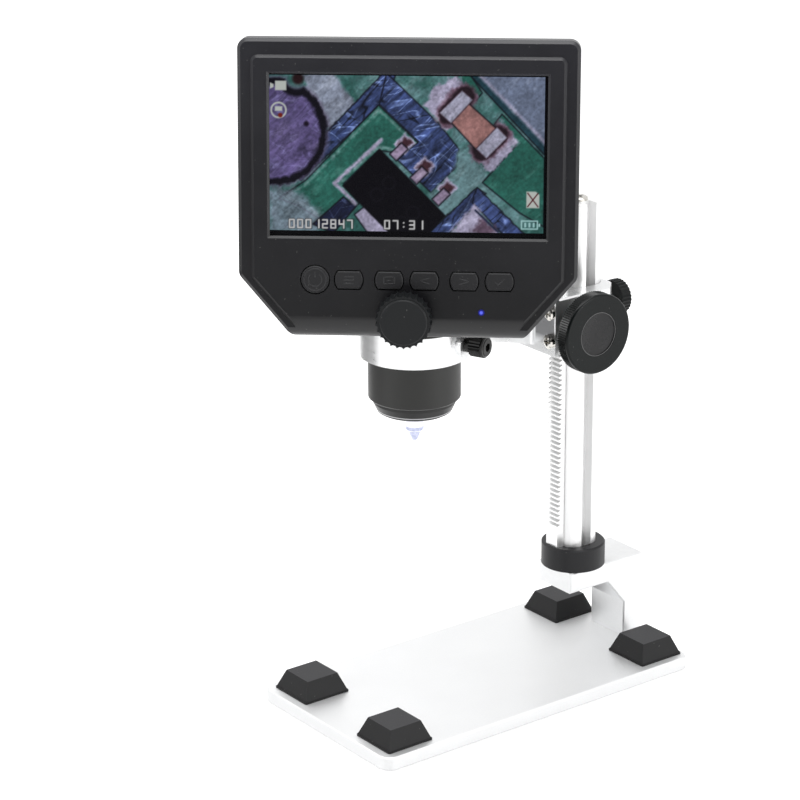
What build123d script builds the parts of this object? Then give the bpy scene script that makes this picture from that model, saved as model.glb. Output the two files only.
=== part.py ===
"""LCD digital microscope on a rack-and-pinion stand, in millimetres.

Frame: the optical axis meets the table at the origin. +Z is up, +Y runs back to the column, and +X is to
the right of someone who faces the column. The head stands turned away from straight ahead by HEAD_YAW.
"""

from math import atan, cos, degrees, pi, radians, sin, sqrt, tan
import os

from build123d import *

os.makedirs("parts", exist_ok=True)

# ---------------------------------------------------------------- fits
FIT = 0.05  # running fit of a turning shaft, per side
SLIDE = 0.2  # clearance of a sliding guide, per side
SEAT = 0.1  # clearance round a piece that is screwed or glued down
KEY_GAP = 0.35  # gap round a key in the front
LAP = 0.5  # how far two forms of one piece run into each other
CUT_OVER = 1.0  # how far a cut starts outside the piece

# ---------------------------------------------------------------- screws in general
SCREW_TIP = 0.4  # bevel at a screw's tip and on a socket head
THREAD_STEP = 0.25
CROWN_SHARE = 0.35  # of a pan head's height, domed
CROSS_SPAN = 1.15  # length of a cross slot in head radii
CROSS_DEEP = 0.55  # of the head's height
SOCKET_DEEP = 0.7  # of the head's height
SHAFT_SEAT = 0.6  # share of a small knob's thickness that its shaft goes in

# ---------------------------------------------------------------- base plate and its rubber pads
PLATE_WIDTH = 80.0
PLATE_LENGTH = 150.0
PLATE_THICK = 5.0
PLATE_REAR = 106.2  # distance of the rear edge behind the optical axis
PLATE_CORNER = 5.0
PLATE_BEVEL = 0.5

PAD_BASE = 20.6
PAD_TOP = 14.0
PAD_HEIGHT = 7.6
PAD_BRIM = 0.6
PAD_BRIM_STEP = 0.5
PAD_CORNER = 1.0
PAD_FROM_SIDE = 13.7  # pad centres from the plate's edges
PAD_FROM_FRONT = 13.8
PAD_FROM_REAR = 12.2

# ---------------------------------------------------------------- column bracket, an angled bar
BRACKET_WIDTH = 20.0
ARM_UNDERSIDE = 30.7
ARM_THICK = 8.5
ARM_NOSE = 9.5  # how far the arm runs past the column's axis
LEG_THICK = 9.2
GUSSET_DEEP = 8.6
GUSSET_TALL = 10.7
BRACKET_BEVEL = 0.5
BRACKET_SCREW_R = 2.0
BRACKET_SCREW_SPACING = 11.0
BRACKET_SCREW_HEAD_R = 3.8
BRACKET_SCREW_LENGTH = 16.0
SCREW_SINK = 0.3  # a countersunk head lies this far below the surface

# ---------------------------------------------------------------- column, rack and collar
COLUMN_FROM_REAR = 27.7  # column's axis from the plate's rear edge
COLUMN_LENGTH = 148.4
COLUMN_SIZE = 15.4
LOBE_R = 5.3
SLOT_WIDTH = 4.7
SLOT_DEPTH = 4.0
CORE_R = 2.1

RACK_WIDTH = 6.6
RACK_PROUD = 3.4  # how far the rack stands out of the column's front
RACK_PITCH = 2.0
RACK_TOOTH_DEPTH = 1.4
RACK_ADDENDUM = 0.37
RACK_FIRST_TOOTH = 58.0
RACK_END_GAP = 1.0
PRESSURE_ANGLE = 20.0
BACKLASH = 0.12

COLLAR_R = 12.55
COLLAR_HEIGHT = 9.4
COLLAR_BEVEL = 0.6

FOOT_SCREW_HEAD_R = 4.2
FOOT_SCREW_HEAD_H = 3.2
FOOT_SCREW_LENGTH = 26.0
TOP_SCREW_HEAD_R = 3.6
TOP_SCREW_HEAD_H = 1.3
TOP_SCREW_LENGTH = 14.0

# ---------------------------------------------------------------- carriage
CARRIAGE_Z = 144.1  # height of the pinion's axis
BLOCK_RAISE = 0.7  # the block's middle above the pinion's axis
BLOCK_HEIGHT = 21.0
BLOCK_WIDTH = 28.0
BLOCK_REAR_WALL = 1.9
BLOCK_FRONT_WALL = 2.5  # in front of the bushes
BLOCK_CHAMFER = 5.5
BLOCK_BEVEL = 0.6
PINION_TEETH = 10
PINION_WIDTH = 6.6
PINION_ADDENDUM = 0.62
PINION_DEDENDUM = 0.8
PINION_SIDE_GAP = 0.25
SHAFT_R = 2.5
BUSH_R = 4.3
BUSH_LENGTH = 5.0

KNOB_R = 15.5
KNOB_RIBS = 108
KNOB_RIB_DEPTH = 0.3
KNOB_RIM = 1.0  # smooth rim in front of the ribs
KNOB_THICK = 5.6
KNOB_FACE_X = 28.9
KNOB_HUB_R = 7.0
KNOB_HUB_GAP = 0.5
KNOB_BEVEL = 0.8
KNOB_BORE_DEPTH = 4.4
CAP_R = 8.45
CAP_DEEP = 1.9
CAP_RIM = 0.35  # the cap's raised rim
CAP_RIM_TALL = 1.75
CAP_DISH = 0.5  # how deep the cap's dish lies at its middle, from the rim's top

LOCK_SHANK_R = 2.0
LOCK_KNOB_R = 6.9
LOCK_KNOB_THICK = 4.4
LOCK_KNOB_GAP = 7.7  # between the block's rear and the knob
LOCK_RAISE = 1.0  # lock screw above the pinion's axis
LOCK_TIP_GAP = 0.3
KNURL_DEPTH = 0.35
LOCK_KNURLS = 28

# ---------------------------------------------------------------- ring arm
RING_R = 20.5
RING_HEIGHT = 12.0
RING_Z = 143.0
FLANGE_THICK = 1.7
ARM_SIDE_X = 0.2  # the arm's right side
ARM_WIDTH = 10.6
ARM_FILLET = 1.5
ARM_ROOT = 2.0  # the bar reaches this far into the ring, and deepens this far out of it
ARM_SCREW_X = 11.2
ARM_SCREW_PITCH = 11.2
ARM_SCREW_R = 1.3
ARM_SCREW_HEAD_R = 2.75
ARM_SCREW_HEAD_H = 2.0
ARM_SCREW_LENGTH = 6.0
DRIVER_SLOT = 0.75

RING_SCREW_ANGLE = 23.0  # measured from +X towards the column
RING_SCREW_R = 2.0
RING_SCREW_Z = 149.8
RING_SCREW_NECK_R = 3.0
RING_SCREW_NECK = 2.1
RING_SCREW_HEAD_R = 4.1
RING_SCREW_HEAD = 6.2
RING_SCREW_RIM = 1.3  # smooth end of the head
RING_SCREW_GROOVE = 0.3
RING_SCREW_BEVEL = 0.9
THUMB_KNURLS = 22
RING_BOSS_R = 5.0
RING_BOSS_PROUD = 1.6
HEX_SIZE = 3.0
HEX_DEEP = 3.0

# ---------------------------------------------------------------- head: where it stands
HEAD_YAW = 49.24
SCREEN_TILT = 7.36
SCREEN_FORWARD = 34.8
CHIN_Z = 162.037  # height of the front's lower edge

# ---------------------------------------------------------------- head: the display, which sets its size
LCD_WIDTH = 105.5
LCD_HEIGHT = 67.2
LCD_THICK = 2.9
LCD_DEPTH = 1.7  # glass below the front
LCD_DROP = 1.0
WINDOW_LAP_SIDE = 4.25  # how far the front covers the display's edges
WINDOW_LAP_TOP = 5.1
WINDOW_BEVEL = 0.8

# ---------------------------------------------------------------- head: front outline, seen from the user
HEAD_SIDE = 6.95  # front's edge outside the display
HEAD_BROW = 8.1  # front's edge above the display
SHOULDER_DROP = 8.2  # these three are below the display's lower edge
CHIN_DROP = 30.6
KEY_DROP = 9.2
CHIN_INSET = 19.1  # chin narrower than the front, per side
FRONT_CORNER = 3.8
SEAM_DEPTH = 9.0
WALL = 2.0
PANEL_STEP = 1.2
PANEL_INSET = 4.7
PANEL_BROW = 5.7  # panel's upper edge below the front's
PANEL_SHOULDER = 0.8  # the panel's shoulders below the head's
PANEL_FOOT = 4.5
PANEL_TAPER = 40.0  # slope of the raised panel's edge
PANEL_CORNER = 2.5
CHIN_R = 8.2
BROW_R = 2.2
EDGE_BEVEL = 1.2

KEY_R = 4.95
KEY_FLAT = 3.15
KEY_TOP = 0.25
KEY_FLANGE = 0.7
KEY_FLANGE_THICK = 0.8
KEY_TRAVEL = 0.6
KEY_STEM_R = 1.5
KEY_STEM = 1.0
KEY_EDGE = 0.4
KEYS = {"power": -32.5, "menu": -20.6, "mode": -6.4, "left": 6.0, "right": 20.0, "ok": 32.4}

LED_FROM_CHIN_END = 14.5
LED_BELOW_KEYS = 11.0
LED_R = 1.1
LED_PROUD = 0.2

# ---------------------------------------------------------------- head: rear shell
SHELL_BACK = 25.0  # depth of the flat back behind the front
SHELL_INSET = 11.0
SHELL_STEP = 0.5  # the shell stands in from the bezel at the seam
SHELL_CORNER = 4.0
TOWER_R = 23.5
TOWER_TOP = 208.0
TOWER_WALL = 2.0
HEAD_FLOOR = 157.0
TOWER_EDGE = 3.0
SHELL_SCREW_R = 1.1
SHELL_SCREW_HEAD_R = 2.2
SHELL_SCREW_HEAD_H = 1.4
SHELL_SCREW_LENGTH = 7.0
SHELL_SCREW_SEAT = 12.0  # depth of the heads' seats
SHELL_BOSS_R = 2.6
SHELL_SCREW_SIDE = 11.7  # upper screws in from the front's side edges
SHELL_SCREW_BROW = 5.1
SHELL_SCREW_FOOT = 7.6  # lower screws in from the chin's ends
SHELL_SCREW_CHIN = 7.8

# ---------------------------------------------------------------- head: boards and battery
BOARD_THICK = 1.6
MAIN_SIDE = 3.2  # board's edge inside the front's
MAIN_HEIGHT = 58.0
MAIN_DEPTH = 8.0
MAIN_POST_SIDE = 4.5  # posts in from the front's side edges
MAIN_POST_END = 5.0  # posts in from the board's upper and lower edges
POST_R = 2.0
KEYBOARD_HEIGHT = 11.0
KEYBOARD_DEPTH = 7.4
KEYBOARD_POST_SIDE = 2.2
KEY_POST_GAP = 0.65  # between an outer key's flange and the post beside it
SWITCH_SIZE = 6.0
SWITCH_GAP = 0.2
SWITCH_CORNER = 0.5
BATTERY_WIDTH = 62.0
BATTERY_HEIGHT = 34.0
BATTERY_THICK = 7.0
BATTERY_Y = 5.0
BATTERY_CORNER = 3.0
BATTERY_EDGE = 1.0
PORT_HEIGHT = 3.0
USB_WIDTH = 8.0
USB_Y = -16.0
CARD_WIDTH = 12.0
CARD_Y = 8.0
PORT_LENGTH = 6.0
PORT_SHEET = 0.4
SENSOR_BOARD = 30.0
SENSOR_SIZE = 8.0
SENSOR_THICK = 1.0

# ---------------------------------------------------------------- camera tube and lens
TUBE_R = 17.2
TUBE_BORE_R = 15.4
TUBE_BOTTOM = 125.9
TUBE_TOP = 190.0
TUBE_LIP_R = 12.0
TUBE_LIP_H = 3.0
TUBE_FLANGE_R = 21.3
TUBE_FLANGE_H = 2.0
TUBE_EDGE = 0.6

LENS_RING_R = 15.5
LENS_RING_BOTTOM = 120.3
LENS_RING_BORE_R = 12.6
LENS_RING_DEEP = 3.0
LENS_RING_GROOVE = 0.5
LENS_RING_EDGE = 1.5

LED_COUNT = 8
LED_CIRCLE_R = 8.6
LED_DOME_R = 1.5
LED_BOARD_THICK = 1.2

NOSE_R = 3.4
NOSE_SLEEVE = 1.6  # gap of the lens ring round the nose
NOSE_LAND = 0.8  # rim of the nose that rests on the lamp board
NOSE_SHOULDER = 113.0
NOSE_NECK = 112.3
NOSE_NECK_R = 2.5
NOSE_TIP = 108.7
NOSE_TIP_R = 0.9

BARREL_WALL = 2.4
BARREL_EDGE = 0.4
BARREL_BOTTOM = 134.0
BARREL_TOP = 178.0
LENS_SEAT_Z = 140.0
LENS_SEAT_THICK = 2.0
LENS_SEAT_WIDTH = 1.5
LENS_THICK = 5.0
LENS_BULGE = 1.6

FOCUS_Z = 171.1
FOCUS_X = -0.8
FOCUS_FACE = 51.0  # knob face ahead of the optical axis
FOCUS_KNOB_R = 9.9
FOCUS_KNOB_THICK = 6.4
FOCUS_SCALLOPS = 26
FOCUS_SCALLOP_R = 1.3
FOCUS_SCALLOP_OUT = 0.6  # scallop centres outside the knob's radius
FOCUS_DISC_R = 8.4
FOCUS_DISC_PROUD = 0.7
FOCUS_DISC_EDGE = 0.42
FOCUS_SHAFT_R = 2.0
FOCUS_TEETH = 16
FOCUS_MODULE = 0.5
FOCUS_DEDENDUM = 0.6
FOCUS_GEAR_WIDTH = 2.0
FOCUS_GEAR_REAR = 17.6  # distance of the gear's rear face ahead of the optical axis
FOCUS_RACK_BOTTOM = 164.0
FOCUS_RACK_TOP = 180.0
FOCUS_RACK_THICK = 3.6
FOCUS_WEB = 2.1
FOCUS_WEB_GAP = 0.4  # web clear of the gear
FOCUS_BOSS_R = 4.0
FOCUS_BOSS = 7.0

# ---------------------------------------------------------------- sizes worked out from the ones above
PLATE_Y = PLATE_REAR - PLATE_LENGTH / 2
PAD_SIDE = PLATE_WIDTH / 2 - PAD_FROM_SIDE
PAD_FRONT_Y = PLATE_REAR - PLATE_LENGTH + PAD_FROM_FRONT
PAD_REAR_Y = PLATE_REAR - PAD_FROM_REAR
COLUMN_Y = PLATE_REAR - COLUMN_FROM_REAR
ARM_FRONT = COLUMN_Y - ARM_NOSE
COLUMN_FOOT = ARM_UNDERSIDE + ARM_THICK
COLUMN_TOP = COLUMN_FOOT + COLUMN_LENGTH
COLUMN_FRONT = COLUMN_Y - COLUMN_SIZE / 2
RACK_FACE = COLUMN_FRONT - RACK_PROUD
PINION_R = PINION_TEETH * RACK_PITCH / (2 * pi)
PINION_Y = RACK_FACE + RACK_ADDENDUM - PINION_R
PINION_TIP_R = PINION_R + PINION_ADDENDUM
BLOCK_BOTTOM = CARRIAGE_Z + BLOCK_RAISE - BLOCK_HEIGHT / 2
BLOCK_TOP = CARRIAGE_Z + BLOCK_RAISE + BLOCK_HEIGHT / 2
BLOCK_REAR = COLUMN_Y + COLUMN_SIZE / 2 + SLIDE + BLOCK_REAR_WALL
BLOCK_FRONT = PINION_Y - BUSH_R - BLOCK_FRONT_WALL
FLANGE_FRONT = BLOCK_FRONT - FLANGE_THICK
LOCK_KNOB_Y = BLOCK_REAR + LOCK_KNOB_GAP

WINDOW_WIDTH = LCD_WIDTH - 2 * WINDOW_LAP_SIDE
WINDOW_HEIGHT = LCD_HEIGHT - 2 * WINDOW_LAP_TOP
LCD_FOOT = -LCD_DROP - LCD_HEIGHT / 2
FRONT_HALF = LCD_WIDTH / 2 + HEAD_SIDE
FRONT_TOP = LCD_HEIGHT / 2 - LCD_DROP + HEAD_BROW
FRONT_SHOULDER = LCD_FOOT - SHOULDER_DROP
FRONT_BOTTOM = LCD_FOOT - CHIN_DROP
FRONT_BOTTOM_HALF = FRONT_HALF - CHIN_INSET
PANEL_TOP = FRONT_TOP - PANEL_BROW
KEY_Y = LCD_FOOT - KEY_DROP
LED_X = FRONT_BOTTOM_HALF - LED_FROM_CHIN_END
LED_Y = KEY_Y - LED_BELOW_KEYS
SCREEN_Z = CHIN_Z - FRONT_BOTTOM * cos(radians(SCREEN_TILT))
SHELL_SCREW_POINTS = [
    (side * (half - inset), y)
    for half, inset, y in (
        (FRONT_HALF, SHELL_SCREW_SIDE, FRONT_TOP - SHELL_SCREW_BROW),
        (FRONT_BOTTOM_HALF, SHELL_SCREW_FOOT, FRONT_BOTTOM + SHELL_SCREW_CHIN),
    )
    for side in (-1, 1)
]
MAIN_WIDTH = 2 * (FRONT_HALF - MAIN_SIDE)
MAIN_POST_X = FRONT_HALF - MAIN_POST_SIDE
MAIN_POST_Y = MAIN_HEIGHT / 2 - MAIN_POST_END
KEYBOARD_POST_X = max(abs(x) for x in KEYS.values()) + KEY_R + KEY_FLANGE + KEY_POST_GAP + POST_R
KEYBOARD_WIDTH = 2 * (KEYBOARD_POST_X + KEYBOARD_POST_SIDE)
FRONT_POINTS = [
    (-FRONT_HALF, FRONT_TOP),
    (-FRONT_HALF, FRONT_SHOULDER),
    (-FRONT_BOTTOM_HALF, FRONT_BOTTOM),
    (FRONT_BOTTOM_HALF, FRONT_BOTTOM),
    (FRONT_HALF, FRONT_SHOULDER),
    (FRONT_HALF, FRONT_TOP),
]
FOCUS_GEAR_R = FOCUS_TEETH * FOCUS_MODULE / 2

# ---------------------------------------------------------------- planes of the head
HEAD_RIGHT = Vector(cos(radians(HEAD_YAW)), sin(radians(HEAD_YAW)), 0)
HEAD_FORWARD = Vector(sin(radians(HEAD_YAW)), -cos(radians(HEAD_YAW)), 0)
UP = Vector(0, 0, 1)
# x to the head's right, y to its rear, z up, on the optical axis
HEAD = Plane(origin=(0, 0, 0), x_dir=HEAD_RIGHT, z_dir=UP)
# x to the right, y up and z out of the screen
SCREEN = Plane(
    origin=HEAD_FORWARD * SCREEN_FORWARD + UP * SCREEN_Z,
    x_dir=HEAD_RIGHT,
    z_dir=HEAD_FORWARD * cos(radians(SCREEN_TILT)) + UP * sin(radians(SCREEN_TILT)),
)
# the head's middle section: x out of the screen, y up along it
SECTION = Plane(origin=SCREEN.origin, x_dir=SCREEN.z_dir, z_dir=-HEAD_RIGHT)
SCREEN_AXIS = Axis(SCREEN.origin, SCREEN.z_dir)
FORWARD_AXIS = Axis((0, 0, 0), HEAD_FORWARD)


def head_at(x, rear, z):
    """A point x to the head's right, rear behind the optical axis and z above the table."""
    return HEAD_RIGHT * x - HEAD_FORWARD * rear + UP * z


def facing_forward(x, rear, z):
    """A vertical plane of the head that faces the user: x to the right and y up."""
    return Plane(origin=head_at(x, rear, z), x_dir=HEAD_RIGHT, z_dir=HEAD_FORWARD)


def save(part, name):
    part.label = name
    export_step(part, f"parts/{name}.step")


def turned(plane, points, mode=Mode.ADD):
    """Revolve a closed outline about the plane's y axis; x is the radius."""
    with BuildSketch(plane) as outline:
        Polygon(*points, align=None)
    revolve(outline.sketch, axis=Axis(plane.origin, plane.y_dir), mode=mode)


def pan_screw(plane, head_r, head_h, shank_r, length, cross=0.0):
    """One screw along the plane's y axis: head above the origin, shank below, cross slots if asked."""
    crown = head_h * CROWN_SHARE
    turned(
        plane,
        [
            (0, -length),
            (shank_r - THREAD_STEP, -length),
            (shank_r, -length + SCREW_TIP),
            (shank_r, 0),
            (head_r, 0),
            (head_r, head_h - crown),
            (head_r - crown, head_h - crown / 3),
            (head_r / 2, head_h),
            (0, head_h),
        ],
    )
    if cross:
        top = Plane(origin=plane.origin + plane.y_dir * head_h, x_dir=plane.x_dir, z_dir=plane.y_dir)
        with BuildSketch(top) as slots:
            Rectangle(head_r * CROSS_SPAN, cross)
            Rectangle(cross, head_r * CROSS_SPAN)
        extrude(slots.sketch, amount=-head_h * CROSS_DEEP, mode=Mode.SUBTRACT)


def knurled_outline(radius, count, depth):
    """Corner points of a straight-knurled round: teeth of the given depth round a circle."""
    return [
        ((radius - depth * (k % 2)) * cos(pi * k / count), (radius - depth * (k % 2)) * sin(pi * k / count))
        for k in range(2 * count)
    ]


def involute(radius_ratio):
    """Involute function at a radius that is radius_ratio times the base radius."""
    turn = sqrt(max(radius_ratio**2 - 1, 0))
    return turn - atan(turn)


def gear_tooth(teeth, pitch_r, addendum, dedendum, backlash):
    """Corner points of one involute tooth that points along +x, from root to tip and back."""
    base_r = pitch_r * cos(radians(PRESSURE_ANGLE))
    half = pi / (2 * teeth) - backlash / (2 * pitch_r)
    radii = [pitch_r - dedendum - FIT, base_r, pitch_r, pitch_r + addendum / 2, pitch_r + addendum]
    side = []
    for r in radii:
        turn = half + involute(pitch_r / base_r) - involute(max(r / base_r, 1.0))
        side.append((r * cos(turn), r * sin(turn)))
    return side + [(x, -y) for x, y in reversed(side)]


def rack_gap(pitch, depth, addendum, backlash):
    """Corner points of one gap between rack teeth: x into the rack from its tooth tips, y along it."""
    slope = tan(radians(PRESSURE_ANGLE))
    mouth = pitch / 4 + backlash / 4 + addendum * slope
    floor = mouth - depth * slope
    return [(-LAP, mouth), (0, mouth), (depth, floor), (depth, -floor), (0, -mouth), (-LAP, -mouth)]


# ================================================================ base
def make_base_plate():
    with BuildPart() as base_plate:
        with BuildSketch(Plane.XY):
            with Locations((0, PLATE_Y)):
                RectangleRounded(PLATE_WIDTH, PLATE_LENGTH, PLATE_CORNER)
        extrude(amount=PLATE_THICK)
        chamfer(base_plate.faces().sort_by(Axis.Z)[-1].edges(), length=PLATE_BEVEL)
        with Locations(Plane(origin=(0, PLATE_REAR - LEG_THICK / 2, 0), x_dir=(1, 0, 0), z_dir=(0, 0, -1))):
            with GridLocations(BRACKET_SCREW_SPACING, 1, 2, 1):
                CounterSinkHole(
                    radius=BRACKET_SCREW_R + SEAT,
                    counter_sink_radius=BRACKET_SCREW_HEAD_R + SCREW_SINK + SEAT,
                    depth=PLATE_THICK,
                )
    save(base_plate.part, "base_plate")


def make_rubber_pads():
    """Four moulded pads: a thin brim under a truncated pyramid."""
    slope = degrees(atan((PAD_BASE / 2 - PAD_BRIM_STEP - PAD_TOP / 2) / (PAD_HEIGHT - PAD_BRIM)))
    centres = [(side * PAD_SIDE, y) for side in (-1, 1) for y in (PAD_FRONT_Y, PAD_REAR_Y)]
    with BuildPart() as rubber_pads:
        with BuildSketch(Plane.XY.offset(PLATE_THICK)):
            with Locations(*centres):
                RectangleRounded(PAD_BASE, PAD_BASE, PAD_CORNER)
        extrude(amount=PAD_BRIM)
        with BuildSketch(Plane.XY.offset(PLATE_THICK + PAD_BRIM)):
            with Locations(*centres):
                Rectangle(PAD_BASE - 2 * PAD_BRIM_STEP, PAD_BASE - 2 * PAD_BRIM_STEP)
        extrude(amount=PAD_HEIGHT - PAD_BRIM, taper=slope)
    save(rubber_pads.part, "rubber_pads")


def make_column_bracket():
    """A bar bent like a 7: a leg on the plate's rear edge and an arm that carries the column."""
    leg_front = PLATE_REAR - LEG_THICK
    outline = [
        (ARM_FRONT, COLUMN_FOOT),
        (ARM_FRONT, ARM_UNDERSIDE),
        (leg_front - GUSSET_DEEP, ARM_UNDERSIDE),
        (leg_front, ARM_UNDERSIDE - GUSSET_TALL),
        (leg_front, PLATE_THICK),
        (PLATE_REAR, PLATE_THICK),
        (PLATE_REAR, COLUMN_FOOT),
    ]
    with BuildPart() as column_bracket:
        with BuildSketch(Plane.YZ):
            with BuildLine():
                Polyline(outline, close=True)
            make_face()
        extrude(amount=BRACKET_WIDTH / 2, both=True)
        chamfer(column_bracket.faces().filter_by(Axis.X).edges(), length=BRACKET_BEVEL)
        with Locations((0, COLUMN_Y, COLUMN_FOOT)):
            Hole(radius=CORE_R, depth=ARM_THICK)
        with Locations(Plane(origin=(0, PLATE_REAR - LEG_THICK / 2, PLATE_THICK), z_dir=(0, 0, -1))):
            with GridLocations(BRACKET_SCREW_SPACING, 1, 2, 1):
                Hole(radius=BRACKET_SCREW_R + SEAT, depth=BRACKET_SCREW_LENGTH)
    save(column_bracket.part, "column_bracket")


def make_bracket_screws():
    """Two countersunk screws, up through the plate into the bracket's leg."""
    cone = BRACKET_SCREW_HEAD_R - BRACKET_SCREW_R
    with BuildPart() as bracket_screws:
        for side in (-1, 1):
            foot = (side * BRACKET_SCREW_SPACING / 2, PLATE_REAR - LEG_THICK / 2, SCREW_SINK)
            turned(
                Plane(origin=foot, x_dir=(1, 0, 0), z_dir=(0, -1, 0)),
                [
                    (0, 0),
                    (BRACKET_SCREW_HEAD_R, 0),
                    (BRACKET_SCREW_R, cone),
                    (BRACKET_SCREW_R, BRACKET_SCREW_LENGTH),
                    (0, BRACKET_SCREW_LENGTH),
                ],
            )
    save(bracket_screws.part, "bracket_screws")


def make_column_foot_screw():
    """Socket-head screw from under the arm up into the column's bore."""
    foot = Plane(origin=(0, COLUMN_Y, ARM_UNDERSIDE), x_dir=(1, 0, 0), z_dir=(0, -1, 0))
    with BuildPart() as column_foot_screw:
        turned(
            foot,
            [
                (0, FOOT_SCREW_LENGTH),
                (CORE_R - SEAT, FOOT_SCREW_LENGTH),
                (CORE_R - SEAT, 0),
                (FOOT_SCREW_HEAD_R, 0),
                (FOOT_SCREW_HEAD_R, SCREW_TIP - FOOT_SCREW_HEAD_H),
                (FOOT_SCREW_HEAD_R - SCREW_TIP, -FOOT_SCREW_HEAD_H),
                (0, -FOOT_SCREW_HEAD_H),
            ],
        )
        with BuildSketch(Plane(origin=(0, COLUMN_Y, ARM_UNDERSIDE - FOOT_SCREW_HEAD_H), z_dir=(0, 0, 1))):
            RegularPolygon(HEX_SIZE / 2, 6, major_radius=False)
        extrude(amount=FOOT_SCREW_HEAD_H * SOCKET_DEEP, mode=Mode.SUBTRACT)
    save(column_foot_screw.part, "column_foot_screw")


def make_column():
    """Extruded section: four round lobes, a slot in each face and a bore."""
    with BuildPart() as column:
        with BuildSketch(Plane.XY.offset(COLUMN_FOOT)):
            with Locations((0, COLUMN_Y)):
                RectangleRounded(COLUMN_SIZE, COLUMN_SIZE, LOBE_R)
                with PolarLocations(COLUMN_SIZE / 2 - SLOT_DEPTH / 2, 4):
                    Rectangle(SLOT_DEPTH, SLOT_WIDTH, mode=Mode.SUBTRACT)
                Circle(CORE_R, mode=Mode.SUBTRACT)
        extrude(amount=COLUMN_LENGTH)
    save(column.part, "column")


def make_column_collar():
    with BuildPart() as column_collar:
        with BuildSketch(Plane.XY.offset(COLUMN_FOOT)):
            with Locations((0, COLUMN_Y)):
                Circle(COLLAR_R)
        extrude(amount=COLLAR_HEIGHT)
        chamfer(column_collar.faces().sort_by(Axis.Z)[-1].edges(), length=COLLAR_BEVEL)
        with BuildSketch(Plane.XY.offset(COLUMN_FOOT)):
            with Locations((0, COLUMN_Y)):
                RectangleRounded(COLUMN_SIZE + 2 * SEAT, COLUMN_SIZE + 2 * SEAT, LOBE_R + SEAT)
        extrude(amount=COLLAR_HEIGHT, mode=Mode.SUBTRACT)
    save(column_collar.part, "column_collar")


def make_rack():
    """Toothed bar in front of the column, with a tongue in the column's front slot."""
    bottom = COLUMN_FOOT + COLLAR_HEIGHT
    top = COLUMN_TOP - RACK_END_GAP
    bar_back = COLUMN_FRONT - SEAT / 2
    tongue_back = COLUMN_FRONT + SLOT_DEPTH - 3 * SEAT
    gaps_down = int((CARRIAGE_Z - RACK_FIRST_TOOTH) / RACK_PITCH)
    gaps_up = int((top - CARRIAGE_Z) / RACK_PITCH)
    gap_places = [(RACK_FACE, CARRIAGE_Z + k * RACK_PITCH) for k in range(-gaps_down, gaps_up + 1)]
    with BuildPart() as rack:
        with BuildSketch(Plane.XY.offset(bottom)):
            with Locations((0, (RACK_FACE + bar_back) / 2)):
                Rectangle(RACK_WIDTH, bar_back - RACK_FACE)
            with Locations((0, (bar_back + tongue_back) / 2)):
                Rectangle(SLOT_WIDTH, tongue_back - bar_back)
        extrude(amount=top - bottom)
        with BuildSketch(Plane.YZ):
            with Locations(*gap_places):
                Polygon(*rack_gap(RACK_PITCH, RACK_TOOTH_DEPTH, RACK_ADDENDUM, BACKLASH), align=None)
        extrude(amount=RACK_WIDTH, both=True, mode=Mode.SUBTRACT)
    save(rack.part, "rack")


def make_column_top_screw():
    with BuildPart() as column_top_screw:
        pan_screw(
            Plane(origin=(0, COLUMN_Y, COLUMN_TOP), x_dir=(1, 0, 0), z_dir=(0, -1, 0)),
            TOP_SCREW_HEAD_R,
            TOP_SCREW_HEAD_H,
            CORE_R - SEAT,
            TOP_SCREW_LENGTH,
            cross=DRIVER_SLOT,
        )
    save(column_top_screw.part, "column_top_screw")


# ================================================================ carriage
def make_carriage_block():
    """Block round the column, with the rack's channel, the pinion's chamber and the lock screw's hole."""
    depth = BLOCK_REAR - BLOCK_FRONT
    bore = COLUMN_SIZE + 2 * SLIDE
    channel_front = RACK_FACE - SLIDE - SEAT
    with BuildPart() as carriage_block:
        with BuildSketch(Plane.XY.offset(BLOCK_BOTTOM)) as footprint:
            with Locations((0, (BLOCK_FRONT + BLOCK_REAR) / 2)):
                Rectangle(BLOCK_WIDTH, depth)
            chamfer(footprint.vertices().group_by(Axis.Y)[-1], length=BLOCK_CHAMFER)
        extrude(amount=BLOCK_HEIGHT)
        chamfer(carriage_block.faces().filter_by(Axis.Z).edges(), length=BLOCK_BEVEL)
        with BuildSketch(Plane.XY.offset(BLOCK_BOTTOM)):
            with Locations((0, COLUMN_Y)):
                RectangleRounded(bore, bore, LOBE_R + SLIDE)
            with Locations((0, (channel_front + COLUMN_Y) / 2)):
                Rectangle(RACK_WIDTH + 2 * (SLIDE + SEAT), COLUMN_Y - channel_front)
        extrude(amount=BLOCK_HEIGHT, mode=Mode.SUBTRACT)
        with BuildSketch(Plane.YZ):
            with Locations((PINION_Y, CARRIAGE_Z)):
                Circle(PINION_TIP_R + PINION_SIDE_GAP)
        extrude(amount=BLOCK_WIDTH / 2, both=True, mode=Mode.SUBTRACT)
        for side in (-1, 1):
            with BuildSketch(Plane.YZ.offset(side * BLOCK_WIDTH / 2)):
                with Locations((PINION_Y, CARRIAGE_Z)):
                    Circle(BUSH_R)
            extrude(amount=-side * BUSH_LENGTH, mode=Mode.SUBTRACT)
        with BuildSketch(Plane.XZ.offset(-BLOCK_REAR)):
            with Locations((0, CARRIAGE_Z + LOCK_RAISE)):
                Circle(LOCK_SHANK_R + FIT)
        extrude(amount=2 * BLOCK_REAR_WALL, mode=Mode.SUBTRACT)
        with BuildSketch(Plane.XZ.offset(-BLOCK_FRONT)):
            with Locations(*[(ARM_SCREW_X, CARRIAGE_Z + side * ARM_SCREW_PITCH / 2) for side in (-1, 1)]):
                Circle(ARM_SCREW_R + FIT)
        extrude(amount=-(ARM_SCREW_LENGTH - FLANGE_THICK + SEAT), mode=Mode.SUBTRACT)
    save(carriage_block.part, "carriage_block")


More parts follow.
